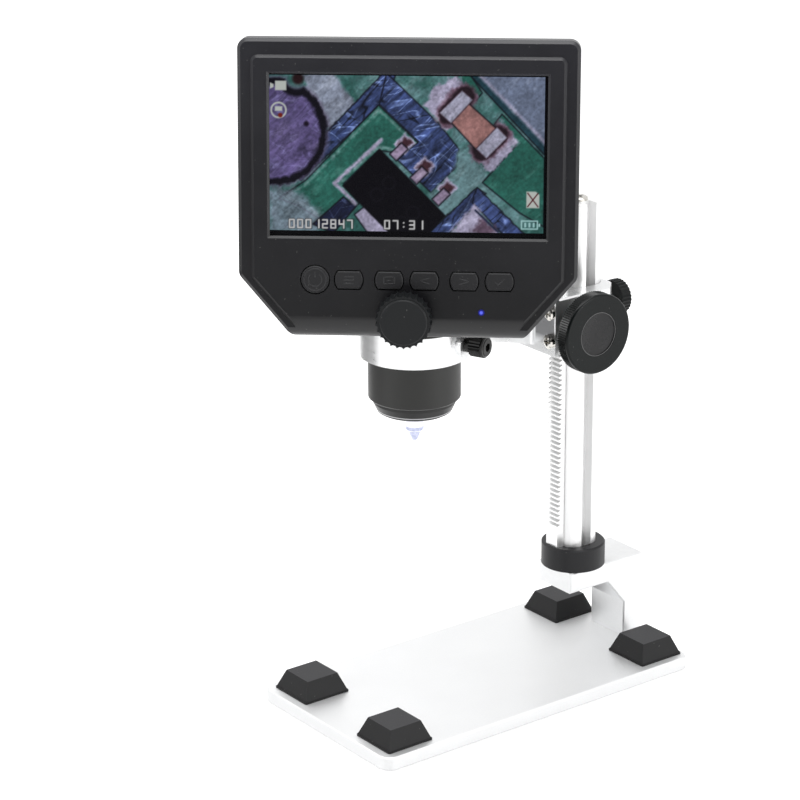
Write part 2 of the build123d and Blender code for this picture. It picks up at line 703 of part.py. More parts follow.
def make_shaft_bushings():
    with BuildPart() as shaft_bushings:
        for side in (-1, 1):
            with BuildSketch(Plane.YZ.offset(side * BLOCK_WIDTH / 2)):
                with Locations((PINION_Y, CARRIAGE_Z)):
                    Circle(BUSH_R)
                    Circle(SHAFT_R + FIT, mode=Mode.SUBTRACT)
            extrude(amount=-side * BUSH_LENGTH)
    save(shaft_bushings.part, "shaft_bushings")


def make_ring_arm():
    """Flange on the block, a bar set to one side, and the ring that holds the camera tube."""
    ring_top = RING_Z + RING_HEIGHT
    arm_x = ARM_SIDE_X - ARM_WIDTH / 2
    boss = Plane(
        origin=(0, 0, RING_SCREW_Z),
        x_dir=(-sin(radians(RING_SCREW_ANGLE)), cos(radians(RING_SCREW_ANGLE)), 0),
        z_dir=(cos(radians(RING_SCREW_ANGLE)), sin(radians(RING_SCREW_ANGLE)), 0),
    )
    with BuildPart() as ring_arm:
        with BuildSketch(Plane.XZ.offset(-FLANGE_FRONT)):
            with Locations((0, (RING_Z + BLOCK_TOP) / 2), (0, (BLOCK_BOTTOM + RING_Z) / 2)):
                Rectangle(BLOCK_WIDTH, RING_HEIGHT)
        extrude(amount=-FLANGE_THICK)
        with BuildSketch(Plane.YZ.offset(arm_x)):
            Polygon(
                (RING_R - ARM_ROOT, ring_top),
                (RING_R - ARM_ROOT, RING_Z),
                (RING_R + ARM_ROOT, RING_Z),
                (FLANGE_FRONT, BLOCK_BOTTOM),
                (FLANGE_FRONT + FLANGE_THICK / 2, BLOCK_BOTTOM),
                (FLANGE_FRONT + FLANGE_THICK / 2, ring_top),
                align=None,
            )
        extrude(amount=ARM_WIDTH / 2, both=True)
        upright = ring_arm.edges().filter_by(Axis.Z)
        on_flange = upright.filter_by_position(Axis.Y, FLANGE_FRONT - FIT, FLANGE_FRONT + FIT)
        left = ARM_SIDE_X - ARM_WIDTH
        fillet(on_flange.filter_by_position(Axis.X, left - FIT, ARM_SIDE_X + FIT), radius=ARM_FILLET)
        with BuildSketch(Plane.XY.offset(RING_Z)):
            Circle(RING_R)
        extrude(amount=RING_HEIGHT)
        with BuildSketch(boss):
            Circle(RING_BOSS_R)
        extrude(amount=RING_R + RING_BOSS_PROUD)
        with BuildSketch(Plane.XY.offset(RING_Z)):
            Circle(TUBE_R + SEAT)
        extrude(amount=RING_HEIGHT, mode=Mode.SUBTRACT)
        with BuildSketch(boss):
            Circle(RING_SCREW_R + FIT)
        extrude(amount=2 * RING_R, mode=Mode.SUBTRACT)
        with BuildSketch(Plane.XZ.offset(-FLANGE_FRONT)):
            with Locations(*[(ARM_SCREW_X, CARRIAGE_Z + side * ARM_SCREW_PITCH / 2) for side in (-1, 1)]):
                Circle(ARM_SCREW_R + FIT)
        extrude(amount=-FLANGE_THICK, mode=Mode.SUBTRACT)
    save(ring_arm.part, "ring_arm")


def make_arm_screws():
    with BuildPart() as arm_screws:
        for side in (-1, 1):
            seat = (ARM_SCREW_X, FLANGE_FRONT, CARRIAGE_Z + side * ARM_SCREW_PITCH / 2)
            pan_screw(
                Plane(origin=seat, x_dir=(1, 0, 0), z_dir=(0, 0, 1)).rotated((180, 0, 0)),
                ARM_SCREW_HEAD_R,
                ARM_SCREW_HEAD_H,
                ARM_SCREW_R,
                ARM_SCREW_LENGTH,
                cross=DRIVER_SLOT,
            )
    save(arm_screws.part, "arm_screws")


def make_ring_screw():
    """Radial thumb screw with a knurled head and a hexagon socket."""
    angle = radians(RING_SCREW_ANGLE)
    outward = Vector(cos(angle), sin(angle), 0)
    axis_point = Vector(0, 0, RING_SCREW_Z)
    tip = TUBE_R + LOCK_TIP_GAP
    neck = RING_R + RING_BOSS_PROUD + LOCK_TIP_GAP
    head = neck + RING_SCREW_NECK
    grip_end = head + RING_SCREW_HEAD - RING_SCREW_RIM - RING_SCREW_GROOVE
    groove_r = RING_SCREW_HEAD_R - 2 * KNURL_DEPTH
    end = head + RING_SCREW_HEAD
    radial = Plane(origin=axis_point, x_dir=(0, 0, 1), z_dir=(-sin(angle), cos(angle), 0))
    with BuildPart() as ring_screw:
        turned(
            radial,
            [
                (0, tip),
                (RING_SCREW_R - THREAD_STEP, tip),
                (RING_SCREW_R, tip + SCREW_TIP),
                (RING_SCREW_R, neck),
                (RING_SCREW_NECK_R, neck),
                (RING_SCREW_NECK_R, head + LAP),
                (0, head + LAP),
            ],
        )
        with BuildSketch(Plane(origin=axis_point + outward * head, x_dir=(0, 0, 1), z_dir=outward)):
            Polygon(*knurled_outline(RING_SCREW_HEAD_R, THUMB_KNURLS, KNURL_DEPTH), align=None)
        extrude(amount=grip_end - head)
        turned(
            radial,
            [
                (0, grip_end - LAP),
                (groove_r, grip_end - LAP),
                (groove_r, end - RING_SCREW_RIM),
                (RING_SCREW_HEAD_R, end - RING_SCREW_RIM),
                (RING_SCREW_HEAD_R, end - RING_SCREW_BEVEL),
                (RING_SCREW_HEAD_R - RING_SCREW_BEVEL, end),
                (0, end),
            ],
        )
        with BuildSketch(Plane(origin=axis_point + outward * end, x_dir=(0, 0, 1), z_dir=outward)):
            RegularPolygon(HEX_SIZE / 2, 6, major_radius=False)
        extrude(amount=-HEX_DEEP, mode=Mode.SUBTRACT)
    save(ring_screw.part, "ring_screw")


def make_pinion_shaft():
    """Shaft across the carriage with the pinion's involute teeth cut on it."""
    shaft_half = KNOB_FACE_X - KNOB_BORE_DEPTH
    with BuildPart() as pinion_shaft:
        with BuildSketch(Plane.YZ):
            with Locations((PINION_Y, CARRIAGE_Z)):
                Circle(SHAFT_R)
        extrude(amount=shaft_half, both=True)
        with BuildSketch(Plane.YZ):
            with Locations((PINION_Y, CARRIAGE_Z)):
                Circle(PINION_R - PINION_DEDENDUM)
                with PolarLocations(0, PINION_TEETH):
                    Polygon(
                        *gear_tooth(PINION_TEETH, PINION_R, PINION_ADDENDUM, PINION_DEDENDUM, BACKLASH),
                        align=None,
                    )
        extrude(amount=PINION_WIDTH / 2, both=True)
    save(pinion_shaft.part, "pinion_shaft")


def make_drive_knobs():
    """A big knob at each end of the shaft, each with an inset cap."""
    for side, name in ((1, "right"), (-1, "left")):
        face_middle = (side * KNOB_FACE_X, PINION_Y, CARRIAGE_Z)
        face_plane = Plane(origin=face_middle, x_dir=(0, side, 0), z_dir=(side, 0, 0))
        hub_length = KNOB_FACE_X - KNOB_THICK - BLOCK_WIDTH / 2 - KNOB_HUB_GAP
        ribs_back = face_plane.offset(-KNOB_THICK)
        with BuildPart() as drive_knob:
            with BuildSketch(ribs_back):
                Polygon(*knurled_outline(KNOB_R, KNOB_RIBS, KNOB_RIB_DEPTH), align=None)
            extrude(amount=KNOB_THICK - KNOB_RIM)
            with BuildSketch(face_plane.offset(-KNOB_RIM)):
                Circle(KNOB_R)
            extrude(amount=KNOB_RIM)
            fillet(drive_knob.faces().sort_by(Axis.X)[-1 if side > 0 else 0].edges(), radius=KNOB_BEVEL)
            with BuildSketch(ribs_back):
                Circle(KNOB_HUB_R)
            extrude(amount=-hub_length)
            with BuildSketch(face_plane):
                Circle(CAP_R + SEAT)
            extrude(amount=-CAP_DEEP, mode=Mode.SUBTRACT)
            with BuildSketch(face_plane.offset(-KNOB_BORE_DEPTH)):
                Circle(SHAFT_R + FIT)
            extrude(amount=-(KNOB_THICK + hub_length), mode=Mode.SUBTRACT)
        save(drive_knob.part, f"drive_knob_{name}")
        dish_r = CAP_R - CAP_RIM
        rim_top = CAP_DEEP - CAP_RIM_TALL
        dish_floor = rim_top + CAP_RIM + CAP_DISH
        dish_arc_r = (dish_r**2 + CAP_DISH**2) / (2 * CAP_DISH)
        dish_middle = dish_floor - dish_arc_r + sqrt(dish_arc_r**2 - dish_r**2 / 4)
        with BuildPart() as knob_cap:
            with BuildSketch(Plane(origin=face_middle, x_dir=(0, side, 0), z_dir=(0, 0, 1))):
                with BuildLine():
                    Polyline(
                        (0, dish_floor),
                        (0, CAP_DEEP),
                        (CAP_R, CAP_DEEP),
                        (CAP_R, rim_top),
                        (dish_r, rim_top),
                        (dish_r, rim_top + CAP_RIM),
                    )
                    ThreePointArc((dish_r, rim_top + CAP_RIM), (dish_r / 2, dish_middle), (0, dish_floor))
                make_face()
            revolve(axis=Axis(face_middle, (1, 0, 0)))
        save(knob_cap.part, f"knob_cap_{name}")


def make_lock_knob():
    """Knurled knob behind the block and the screw that it turns."""
    knob_plane = Plane(origin=(0, LOCK_KNOB_Y, CARRIAGE_Z + LOCK_RAISE), x_dir=(1, 0, 0), z_dir=(0, 1, 0))
    tip = COLUMN_Y + COLUMN_SIZE / 2 - SLOT_DEPTH + LOCK_TIP_GAP
    socket = LOCK_KNOB_THICK * SHAFT_SEAT
    with BuildPart() as lock_knob:
        with BuildSketch(knob_plane):
            Polygon(*knurled_outline(LOCK_KNOB_R, LOCK_KNURLS, KNURL_DEPTH), align=None)
        extrude(amount=LOCK_KNOB_THICK)
        with BuildSketch(knob_plane):
            Circle(LOCK_SHANK_R + FIT)
        extrude(amount=socket, mode=Mode.SUBTRACT)
    save(lock_knob.part, "lock_knob")
    with BuildPart() as lock_screw:
        with BuildSketch(knob_plane.offset(socket)):
            Circle(LOCK_SHANK_R)
        extrude(amount=tip - LOCK_KNOB_Y - socket)
        chamfer(lock_screw.edges().sort_by(Axis.Y)[0], length=SCREW_TIP)
    save(lock_screw.part, "lock_screw")


# ================================================================ head
def front_outline(plane, inset, corner):
    """The head's outline seen from the front, drawn in by an inset, as a sketch on a plane."""
    with BuildSketch(plane) as outline:
        Polygon(*FRONT_POINTS, align=None)
        if inset:
            offset(amount=-inset, kind=Kind.INTERSECTION)
        fillet(outline.vertices(), radius=corner)
    return outline.sketch


def side_outline(inset):
    """Side view of the front bezel with its rounded chin and brow, drawn in by an inset."""
    front = -inset
    back = -2 * SEAM_DEPTH
    top = FRONT_TOP - inset
    bottom = FRONT_BOTTOM + inset
    with BuildSketch(SECTION) as outline:
        with Locations(((front + back) / 2, (top + bottom) / 2)):
            Rectangle(front - back, top - bottom)
        fillet(outline.vertices().group_by(Axis.X)[-1].sort_by(Axis.Y)[0], radius=CHIN_R - inset)
        fillet(outline.vertices().group_by(Axis.X)[-1].sort_by(Axis.Y)[-1], radius=BROW_R)
    return outline.sketch


def key_outline(plane, name, radius, flat):
    """One key's shape on a plane: round for power, a barrel with a flat top and bottom for the others."""
    with BuildSketch(plane) as outline:
        with Locations((KEYS[name], KEY_Y)):
            Circle(radius)
            if name != "power":
                Rectangle(2 * radius, 2 * flat, mode=Mode.INTERSECT)
    return outline.sketch


def focus_plane(rear):
    """Plane across the focus shaft at a distance behind the optical axis, facing the user."""
    return facing_forward(FOCUS_X, rear, FOCUS_Z)


def round_window(edge):
    """Whether an edge of the front lies round the display's window."""
    middle = SCREEN.to_local_coords(edge.center())
    beside = abs(middle.X) < WINDOW_WIDTH / 2 + FIT and abs(middle.Y) < WINDOW_HEIGHT / 2 + FIT
    return abs(middle.Z) < FIT and beside


def make_front_bezel():
    """Moulded front: raised panel, window, key holes, rounded chin, posts and screw bosses inside."""
    panel_points = [
        (-FRONT_HALF + PANEL_INSET, PANEL_TOP),
        (-FRONT_HALF + PANEL_INSET, FRONT_SHOULDER - PANEL_SHOULDER),
        (-FRONT_BOTTOM_HALF + PANEL_FOOT, FRONT_BOTTOM),
        (FRONT_BOTTOM_HALF - PANEL_FOOT, FRONT_BOTTOM),
        (FRONT_HALF - PANEL_INSET, FRONT_SHOULDER - PANEL_SHOULDER),
        (FRONT_HALF - PANEL_INSET, PANEL_TOP),
    ]
    floor_depth = PANEL_STEP + WALL
    with BuildPart() as cavity:
        inside = front_outline(SCREEN.offset(-SEAM_DEPTH), WALL, FRONT_CORNER - WALL / 2)
        extrude(inside, amount=SEAM_DEPTH - floor_depth)
        extrude(side_outline(WALL), amount=FRONT_HALF, both=True, mode=Mode.INTERSECT)
        with BuildSketch(SCREEN.offset(-floor_depth)):
            with Locations((0, -LCD_DROP)):
                Rectangle(LCD_WIDTH + 2 * SEAT, LCD_HEIGHT + 2 * SEAT)
        extrude(amount=floor_depth - LCD_DEPTH)
        with BuildSketch(SCREEN.offset(-floor_depth)):
            with Locations(*SHELL_SCREW_POINTS):
                Circle(SHELL_BOSS_R)
        extrude(amount=-SEAM_DEPTH, mode=Mode.SUBTRACT)
        with BuildSketch(SCREEN.offset(-floor_depth)):
            with Locations(*[(x * MAIN_POST_X, y * MAIN_POST_Y) for x in (-1, 1) for y in (-1, 1)]):
                Rectangle(2 * POST_R, 2 * POST_R)
        extrude(amount=floor_depth - MAIN_DEPTH, mode=Mode.SUBTRACT)
        with BuildSketch(SCREEN.offset(-floor_depth)):
            with Locations((-KEYBOARD_POST_X, KEY_Y), (KEYBOARD_POST_X, KEY_Y)):
                Circle(POST_R)
        extrude(amount=floor_depth - KEYBOARD_DEPTH, mode=Mode.SUBTRACT)
        with BuildSketch(focus_plane(-SCREEN_FORWARD)):
            Circle(FOCUS_BOSS_R)
        extrude(amount=3 * FOCUS_BOSS, mode=Mode.SUBTRACT)
    with BuildPart() as front_bezel:
        extrude(front_outline(SCREEN.offset(-SEAM_DEPTH), 0, FRONT_CORNER), amount=SEAM_DEPTH - PANEL_STEP)
        front_edges = front_bezel.faces().sort_by(SCREEN_AXIS)[-1].edges()
        chamfer(front_edges, length=EDGE_BEVEL)
        with BuildSketch(SCREEN.offset(-PANEL_STEP)) as panel:
            Polygon(*panel_points, align=None)
            fillet(panel.vertices().group_by(Axis.Y)[-1], radius=PANEL_CORNER)
        extrude(amount=PANEL_STEP, taper=PANEL_TAPER)
        extrude(side_outline(0), amount=FRONT_HALF + CUT_OVER, both=True, mode=Mode.INTERSECT)
        add(cavity.part, mode=Mode.SUBTRACT)
        with BuildSketch(SCREEN):
            Rectangle(WINDOW_WIDTH, WINDOW_HEIGHT)
        extrude(amount=-floor_depth, mode=Mode.SUBTRACT)
        chamfer(front_bezel.edges().filter_by(round_window), length=WINDOW_BEVEL)
        for name in KEYS:
            hole = key_outline(SCREEN, name, KEY_R + KEY_GAP, KEY_FLAT + KEY_GAP)
            extrude(hole, amount=-floor_depth, mode=Mode.SUBTRACT)
        with BuildSketch(SCREEN):
            with Locations((LED_X, LED_Y)):
                Circle(LED_R + FIT)
        extrude(amount=-2 * floor_depth, mode=Mode.SUBTRACT)
        with BuildSketch(focus_plane(-SCREEN_FORWARD + FOCUS_BOSS)):
            Circle(FOCUS_SHAFT_R + FIT)
        extrude(amount=5 * FOCUS_BOSS, mode=Mode.SUBTRACT)
        with BuildSketch(SCREEN.offset(-SEAM_DEPTH)):
            with Locations(*SHELL_SCREW_POINTS):
                Circle(SHELL_SCREW_R + FIT)
        extrude(amount=SHELL_SCREW_LENGTH - SHELL_SCREW_SEAT + SEAM_DEPTH + SEAT, mode=Mode.SUBTRACT)
        port_middle = MAIN_DEPTH - PORT_HEIGHT / 2
        for width, y in ((USB_WIDTH, USB_Y), (CARD_WIDTH, CARD_Y)):
            with BuildSketch(Plane(origin=SCREEN.origin, x_dir=SCREEN.y_dir, z_dir=-SCREEN.x_dir)):
                with Locations((y, port_middle)):
                    Rectangle(width + 2 * SEAT, PORT_HEIGHT + 2 * SEAT)
            extrude(amount=FRONT_HALF + CUT_OVER, mode=Mode.SUBTRACT)
    save(front_bezel.part, "front_bezel")


def make_rear_shell():
    """Moulded back: sloping walls behind the seam and a round tower over the camera tube."""
    front = SCREEN.offset(-SEAM_DEPTH)
    back = SCREEN.offset(-SHELL_BACK)
    with BuildPart() as tower:
        with BuildSketch(Plane.XY.offset(HEAD_FLOOR)):
            Circle(TOWER_R)
        extrude(amount=TOWER_TOP - HEAD_FLOOR)
        fillet(tower.edges().group_by(Axis.Z)[-1], radius=TOWER_EDGE)
    with BuildPart() as cavity:
        inner_corner = SHELL_CORNER - WALL / 2
        inside_front = front_outline(front, SHELL_STEP + WALL, inner_corner)
        inside_back = front_outline(back.offset(WALL), SHELL_INSET + WALL, inner_corner)
        loft([inside_front, inside_back])
        with BuildSketch(Plane.XY.offset(HEAD_FLOOR + TOWER_WALL)):
            Circle(TOWER_R - TOWER_WALL)
        extrude(amount=TOWER_TOP - HEAD_FLOOR - 2 * TOWER_WALL)
        with BuildSketch(front):
            with Locations(*SHELL_SCREW_POINTS):
                Circle(SHELL_BOSS_R + WALL / 2)
        extrude(amount=-SHELL_BACK, mode=Mode.SUBTRACT)
    with BuildPart() as rear_shell:
        outside_front = front_outline(front, SHELL_STEP, SHELL_CORNER)
        outside_back = front_outline(back, SHELL_INSET, SHELL_CORNER)
        loft([outside_front, outside_back])
        add(tower.part)
        add(cavity.part, mode=Mode.SUBTRACT)
        split(bisect_by=front, keep=Keep.BOTTOM)
        with BuildSketch(Plane.XY.offset(HEAD_FLOOR)):
            Circle(TUBE_R + SEAT)
        extrude(amount=TOWER_WALL, mode=Mode.SUBTRACT)
        with BuildSketch(focus_plane(-FOCUS_GEAR_REAR)):
            Circle(FOCUS_SHAFT_R + 3 * SEAT)
        extrude(amount=SCREEN_FORWARD, mode=Mode.SUBTRACT)
        with BuildSketch(SCREEN.offset(-SHELL_SCREW_SEAT)):
            with Locations(*SHELL_SCREW_POINTS):
                Circle(SHELL_SCREW_HEAD_R + SEAT)
        extrude(amount=-SHELL_BACK, mode=Mode.SUBTRACT)
        with BuildSketch(front):
            with Locations(*SHELL_SCREW_POINTS):
                Circle(SHELL_SCREW_R + SEAT)
        extrude(amount=SEAM_DEPTH - SHELL_SCREW_SEAT, mode=Mode.SUBTRACT)
    save(rear_shell.part, "rear_shell")


def make_shell_screws():
    with BuildPart() as shell_screws:
        for x, y in SHELL_SCREW_POINTS:
            seat = SCREEN.from_local_coords(Vector(x, y, -SHELL_SCREW_SEAT))
            pan_screw(
                Plane(origin=seat, x_dir=SCREEN.x_dir, z_dir=SCREEN.y_dir),
                SHELL_SCREW_HEAD_R,
                SHELL_SCREW_HEAD_H,
                SHELL_SCREW_R,
                SHELL_SCREW_LENGTH,
            )
    save(shell_screws.part, "shell_screws")


def make_lcd_panel():
    with BuildPart() as lcd_panel:
        with BuildSketch(SCREEN.offset(-LCD_DEPTH)):
            with Locations((0, -LCD_DROP)):
                Rectangle(LCD_WIDTH, LCD_HEIGHT)
        extrude(amount=-LCD_THICK)
    save(lcd_panel.part, "lcd_panel")


def make_key_board():
    """Circuit board behind the keys with one switch under each."""
    switch_top = PANEL_STEP + WALL + 3 * SEAT + KEY_FLANGE_THICK + KEY_STEM + KEY_TRAVEL + SWITCH_GAP
    with BuildPart() as key_board:
        with BuildSketch(SCREEN.offset(-KEYBOARD_DEPTH)):
            with Locations((0, KEY_Y)):
                Rectangle(KEYBOARD_WIDTH, KEYBOARD_HEIGHT)
        extrude(amount=-BOARD_THICK)
        with BuildSketch(SCREEN.offset(-KEYBOARD_DEPTH)):
            with Locations(*[(x, KEY_Y) for x in KEYS.values()]):
                RectangleRounded(SWITCH_SIZE, SWITCH_SIZE, SWITCH_CORNER)
        extrude(amount=KEYBOARD_DEPTH - switch_top)
    save(key_board.part, "key_board")


def make_main_board():
    with BuildPart() as main_board:
        with BuildSketch(SCREEN.offset(-MAIN_DEPTH)):
            Rectangle(MAIN_WIDTH, MAIN_HEIGHT)
        extrude(amount=-BOARD_THICK)
    save(main_board.part, "main_board")


def make_battery():
    with BuildPart() as battery:
        with BuildSketch(SCREEN.offset(-MAIN_DEPTH - BOARD_THICK)):
            with Locations((0, BATTERY_Y)):
                RectangleRounded(BATTERY_WIDTH, BATTERY_HEIGHT, BATTERY_CORNER)
        extrude(amount=-BATTERY_THICK)
        fillet(battery.faces().sort_by(SCREEN_AXIS)[0].edges(), radius=BATTERY_EDGE)
    save(battery.part, "battery")


def make_ports():
    """Sheet-metal sockets on the main board, open through the head's left side."""
    left = Plane(origin=SCREEN.origin, x_dir=SCREEN.y_dir, z_dir=-SCREEN.x_dir)
    for name, width, y in (("usb_port", USB_WIDTH, USB_Y), ("card_slot", CARD_WIDTH, CARD_Y)):
        with BuildPart() as port:
            with BuildSketch(left.offset(FRONT_HALF - PORT_LENGTH - SEAT)):
                with Locations((y, MAIN_DEPTH - PORT_HEIGHT / 2)):
                    Rectangle(width, PORT_HEIGHT)
            extrude(amount=PORT_LENGTH)
            with BuildSketch(left.offset(FRONT_HALF - PORT_LENGTH + PORT_SHEET)):
                with Locations((y, MAIN_DEPTH - PORT_HEIGHT / 2)):
                    Rectangle(width - 2 * PORT_SHEET, PORT_HEIGHT - 2 * PORT_SHEET)
            extrude(amount=PORT_LENGTH, mode=Mode.SUBTRACT)
        save(port.part, name)


def make_status_led():
    """Light pipe with a flange against the inside of the bezel."""
    floor_depth = PANEL_STEP + WALL
    with BuildPart() as status_led:
        with BuildSketch(SCREEN.offset(-floor_depth)):
            with Locations((LED_X, LED_Y)):
                Circle(LED_R)
        extrude(amount=floor_depth + LED_PROUD)
        with BuildSketch(SCREEN.offset(-floor_depth)):
            with Locations((LED_X, LED_Y)):
                Circle(LED_R + KEY_FLANGE)
        extrude(amount=-KEY_FLANGE_THICK)
    save(status_led.part, "status_led")


def make_keys():
    """Six keys: cap in the bezel's hole, flange behind the wall and a stem towards its switch."""
    flange_front = PANEL_STEP + WALL + 3 * SEAT
    for name, x in KEYS.items():
        with BuildPart() as key:
            rear = SCREEN.offset(-flange_front)
            extrude(key_outline(rear, name, KEY_R, KEY_FLAT), amount=flange_front + KEY_TOP)
            chamfer(key.faces().sort_by(SCREEN_AXIS)[-1].edges(), length=KEY_EDGE)
            flange = key_outline(rear, name, KEY_R + KEY_FLANGE, KEY_FLAT + KEY_FLANGE)
            extrude(flange, amount=-KEY_FLANGE_THICK)
            with BuildSketch(SCREEN.offset(-flange_front - KEY_FLANGE_THICK)):
                with Locations((x, KEY_Y)):
                    Circle(KEY_STEM_R)
            extrude(amount=-KEY_STEM)
        save(key.part, f"{name}_key")


# ================================================================ camera tube, lens and lights
def make_camera_tube():
    """Black tube with a flange under the head, a lip at the bottom and a slot for the focus web."""
    flange_bottom = HEAD_FLOOR - TUBE_FLANGE_H
    upright = Plane(origin=(0, 0, 0), x_dir=HEAD_RIGHT, z_dir=HEAD_FORWARD)
    with BuildPart() as camera_tube:
        turned(
            upright,
            [
                (TUBE_LIP_R, TUBE_BOTTOM),
                (TUBE_R - TUBE_EDGE, TUBE_BOTTOM),
                (TUBE_R, TUBE_BOTTOM + TUBE_EDGE),
                (TUBE_R, flange_bottom),
                (TUBE_FLANGE_R, flange_bottom),
                (TUBE_FLANGE_R, HEAD_FLOOR),
                (TUBE_R, HEAD_FLOOR),
                (TUBE_R, TUBE_TOP),
                (TUBE_BORE_R, TUBE_TOP),
                (TUBE_BORE_R, TUBE_BOTTOM + TUBE_LIP_H),
                (TUBE_LIP_R, TUBE_BOTTOM + TUBE_LIP_H),
            ],
        )
        web = focus_web_x()
        with BuildSketch(facing_forward(web, 0, (HEAD_FLOOR + TOWER_WALL + TUBE_TOP) / 2)):
            Rectangle(FOCUS_WEB + 8 * SEAT, TUBE_TOP - HEAD_FLOOR - TOWER_WALL)
        extrude(amount=2 * TUBE_R, mode=Mode.SUBTRACT)
    save(camera_tube.part, "camera_tube")


def make_lens_ring():
    spigot = TUBE_LIP_R - SEAT
    with BuildPart() as lens_ring:
        turned(
            Plane.XZ,
            [
                (NOSE_R + NOSE_SLEEVE, LENS_RING_BOTTOM + LENS_RING_DEEP + LED_BOARD_THICK),
                (LENS_RING_BORE_R, LENS_RING_BOTTOM + LENS_RING_DEEP + LED_BOARD_THICK),
                (LENS_RING_BORE_R, LENS_RING_BOTTOM),
                (LENS_RING_R - 2 * LENS_RING_EDGE, LENS_RING_BOTTOM),
                (LENS_RING_R - LENS_RING_EDGE, LENS_RING_BOTTOM + LENS_RING_EDGE / 2),
                (LENS_RING_R, TUBE_BOTTOM - LENS_RING_EDGE),
                (LENS_RING_R, TUBE_BOTTOM - LENS_RING_GROOVE),
                (LENS_RING_R - LENS_RING_GROOVE, TUBE_BOTTOM - LENS_RING_GROOVE),
                (LENS_RING_R - LENS_RING_GROOVE, TUBE_BOTTOM),
                (spigot, TUBE_BOTTOM),
                (spigot, TUBE_BOTTOM + TUBE_LIP_H),
                (NOSE_R + NOSE_SLEEVE, TUBE_BOTTOM + TUBE_LIP_H),
            ],
        )
    save(lens_ring.part, "lens_ring")


def make_led_board():
    """Round board in the lens ring with a circle of domed lamps."""
    seat = LENS_RING_BOTTOM + LENS_RING_DEEP
    with BuildPart() as led_board:
        with BuildSketch(Plane.XY.offset(seat)):
            Circle(LENS_RING_BORE_R - SEAT)
            Circle(NOSE_R - NOSE_LAND, mode=Mode.SUBTRACT)
        extrude(amount=LED_BOARD_THICK)
        for k in range(LED_COUNT):
            angle = 2 * pi * k / LED_COUNT
            foot = (LED_CIRCLE_R * cos(angle), LED_CIRCLE_R * sin(angle), seat)
            turned(
                Plane(origin=foot, x_dir=(1, 0, 0), z_dir=(0, -1, 0)),
                [
                    (0, LED_BOARD_THICK / 2),
                    (0, -LED_DOME_R),
                    (LED_DOME_R * cos(pi / 4), -LED_DOME_R * sin(pi / 4)),
                    (LED_DOME_R, 0),
                    (LED_DOME_R, LED_BOARD_THICK / 2),
                ],
            )
    save(led_board.part, "led_board")


def make_lens_nose():
    """Clear light guide that narrows to a blunt tip."""
    with BuildPart() as lens_nose:
        turned(
            Plane.XZ,
            [
                (0, LENS_RING_BOTTOM + LENS_RING_DEEP),
                (NOSE_R, LENS_RING_BOTTOM + LENS_RING_DEEP),
                (NOSE_R, NOSE_SHOULDER),
                (NOSE_NECK_R, NOSE_NECK),
                (NOSE_TIP_R, NOSE_TIP),
                (0, NOSE_TIP),
            ],
        )
    save(lens_nose.part, "lens_nose")


def make_sensor_board():
    """Image sensor over the tube, on a small board that rests on the tube's top."""
    with BuildPart() as sensor_board:
        with BuildSketch(HEAD.offset(TUBE_TOP)):
            Rectangle(SENSOR_BOARD, SENSOR_BOARD)
        extrude(amount=BOARD_THICK)
        with BuildSketch(HEAD.offset(TUBE_TOP)):
            Rectangle(SENSOR_SIZE, SENSOR_SIZE)
        extrude(amount=-SENSOR_THICK)
    save(sensor_board.part, "sensor_board")


def focus_web_x():
    """Middle of the focus rack's web, to the right of the optical axis."""
    return FOCUS_X + FOCUS_GEAR_R + FOCUS_DEDENDUM + FOCUS_WEB_GAP + FOCUS_WEB / 2


def make_lens_barrel():
    barrel_r = TUBE_BORE_R - FIT
    inner_r = barrel_r - BARREL_WALL
    with BuildPart() as lens_barrel:
        turned(
            Plane.XZ,
            [
                (inner_r, BARREL_BOTTOM),
                (barrel_r - BARREL_EDGE, BARREL_BOTTOM),
                (barrel_r, BARREL_BOTTOM + BARREL_EDGE),
                (barrel_r, BARREL_TOP),
                (inner_r, BARREL_TOP),
                (inner_r, LENS_SEAT_Z),
                (inner_r - LENS_SEAT_WIDTH, LENS_SEAT_Z),
                (inner_r - LENS_SEAT_WIDTH, LENS_SEAT_Z - LENS_SEAT_THICK),
                (inner_r, LENS_SEAT_Z - LENS_SEAT_THICK),
            ],
        )
    save(lens_barrel.part, "lens_barrel")
    lens_r = inner_r - FIT
    top = LENS_SEAT_Z + LENS_THICK - LENS_BULGE
    dome_r = (lens_r**2 + LENS_BULGE**2) / (2 * LENS_BULGE)
    dome_middle = top + LENS_BULGE - dome_r + sqrt(dome_r**2 - lens_r**2 / 4)
    with BuildPart() as objective_lens:
        with BuildSketch(Plane.XZ):
            with BuildLine():
                Line((0, LENS_SEAT_Z), (lens_r, LENS_SEAT_Z))
                Line((lens_r, LENS_SEAT_Z), (lens_r, top))
                ThreePointArc((lens_r, top), (lens_r / 2, dome_middle), (0, top + LENS_BULGE))
                Line((0, top + LENS_BULGE), (0, LENS_SEAT_Z))
            make_face()
        revolve(axis=Axis.Z)
    save(objective_lens.part, "objective_lens")


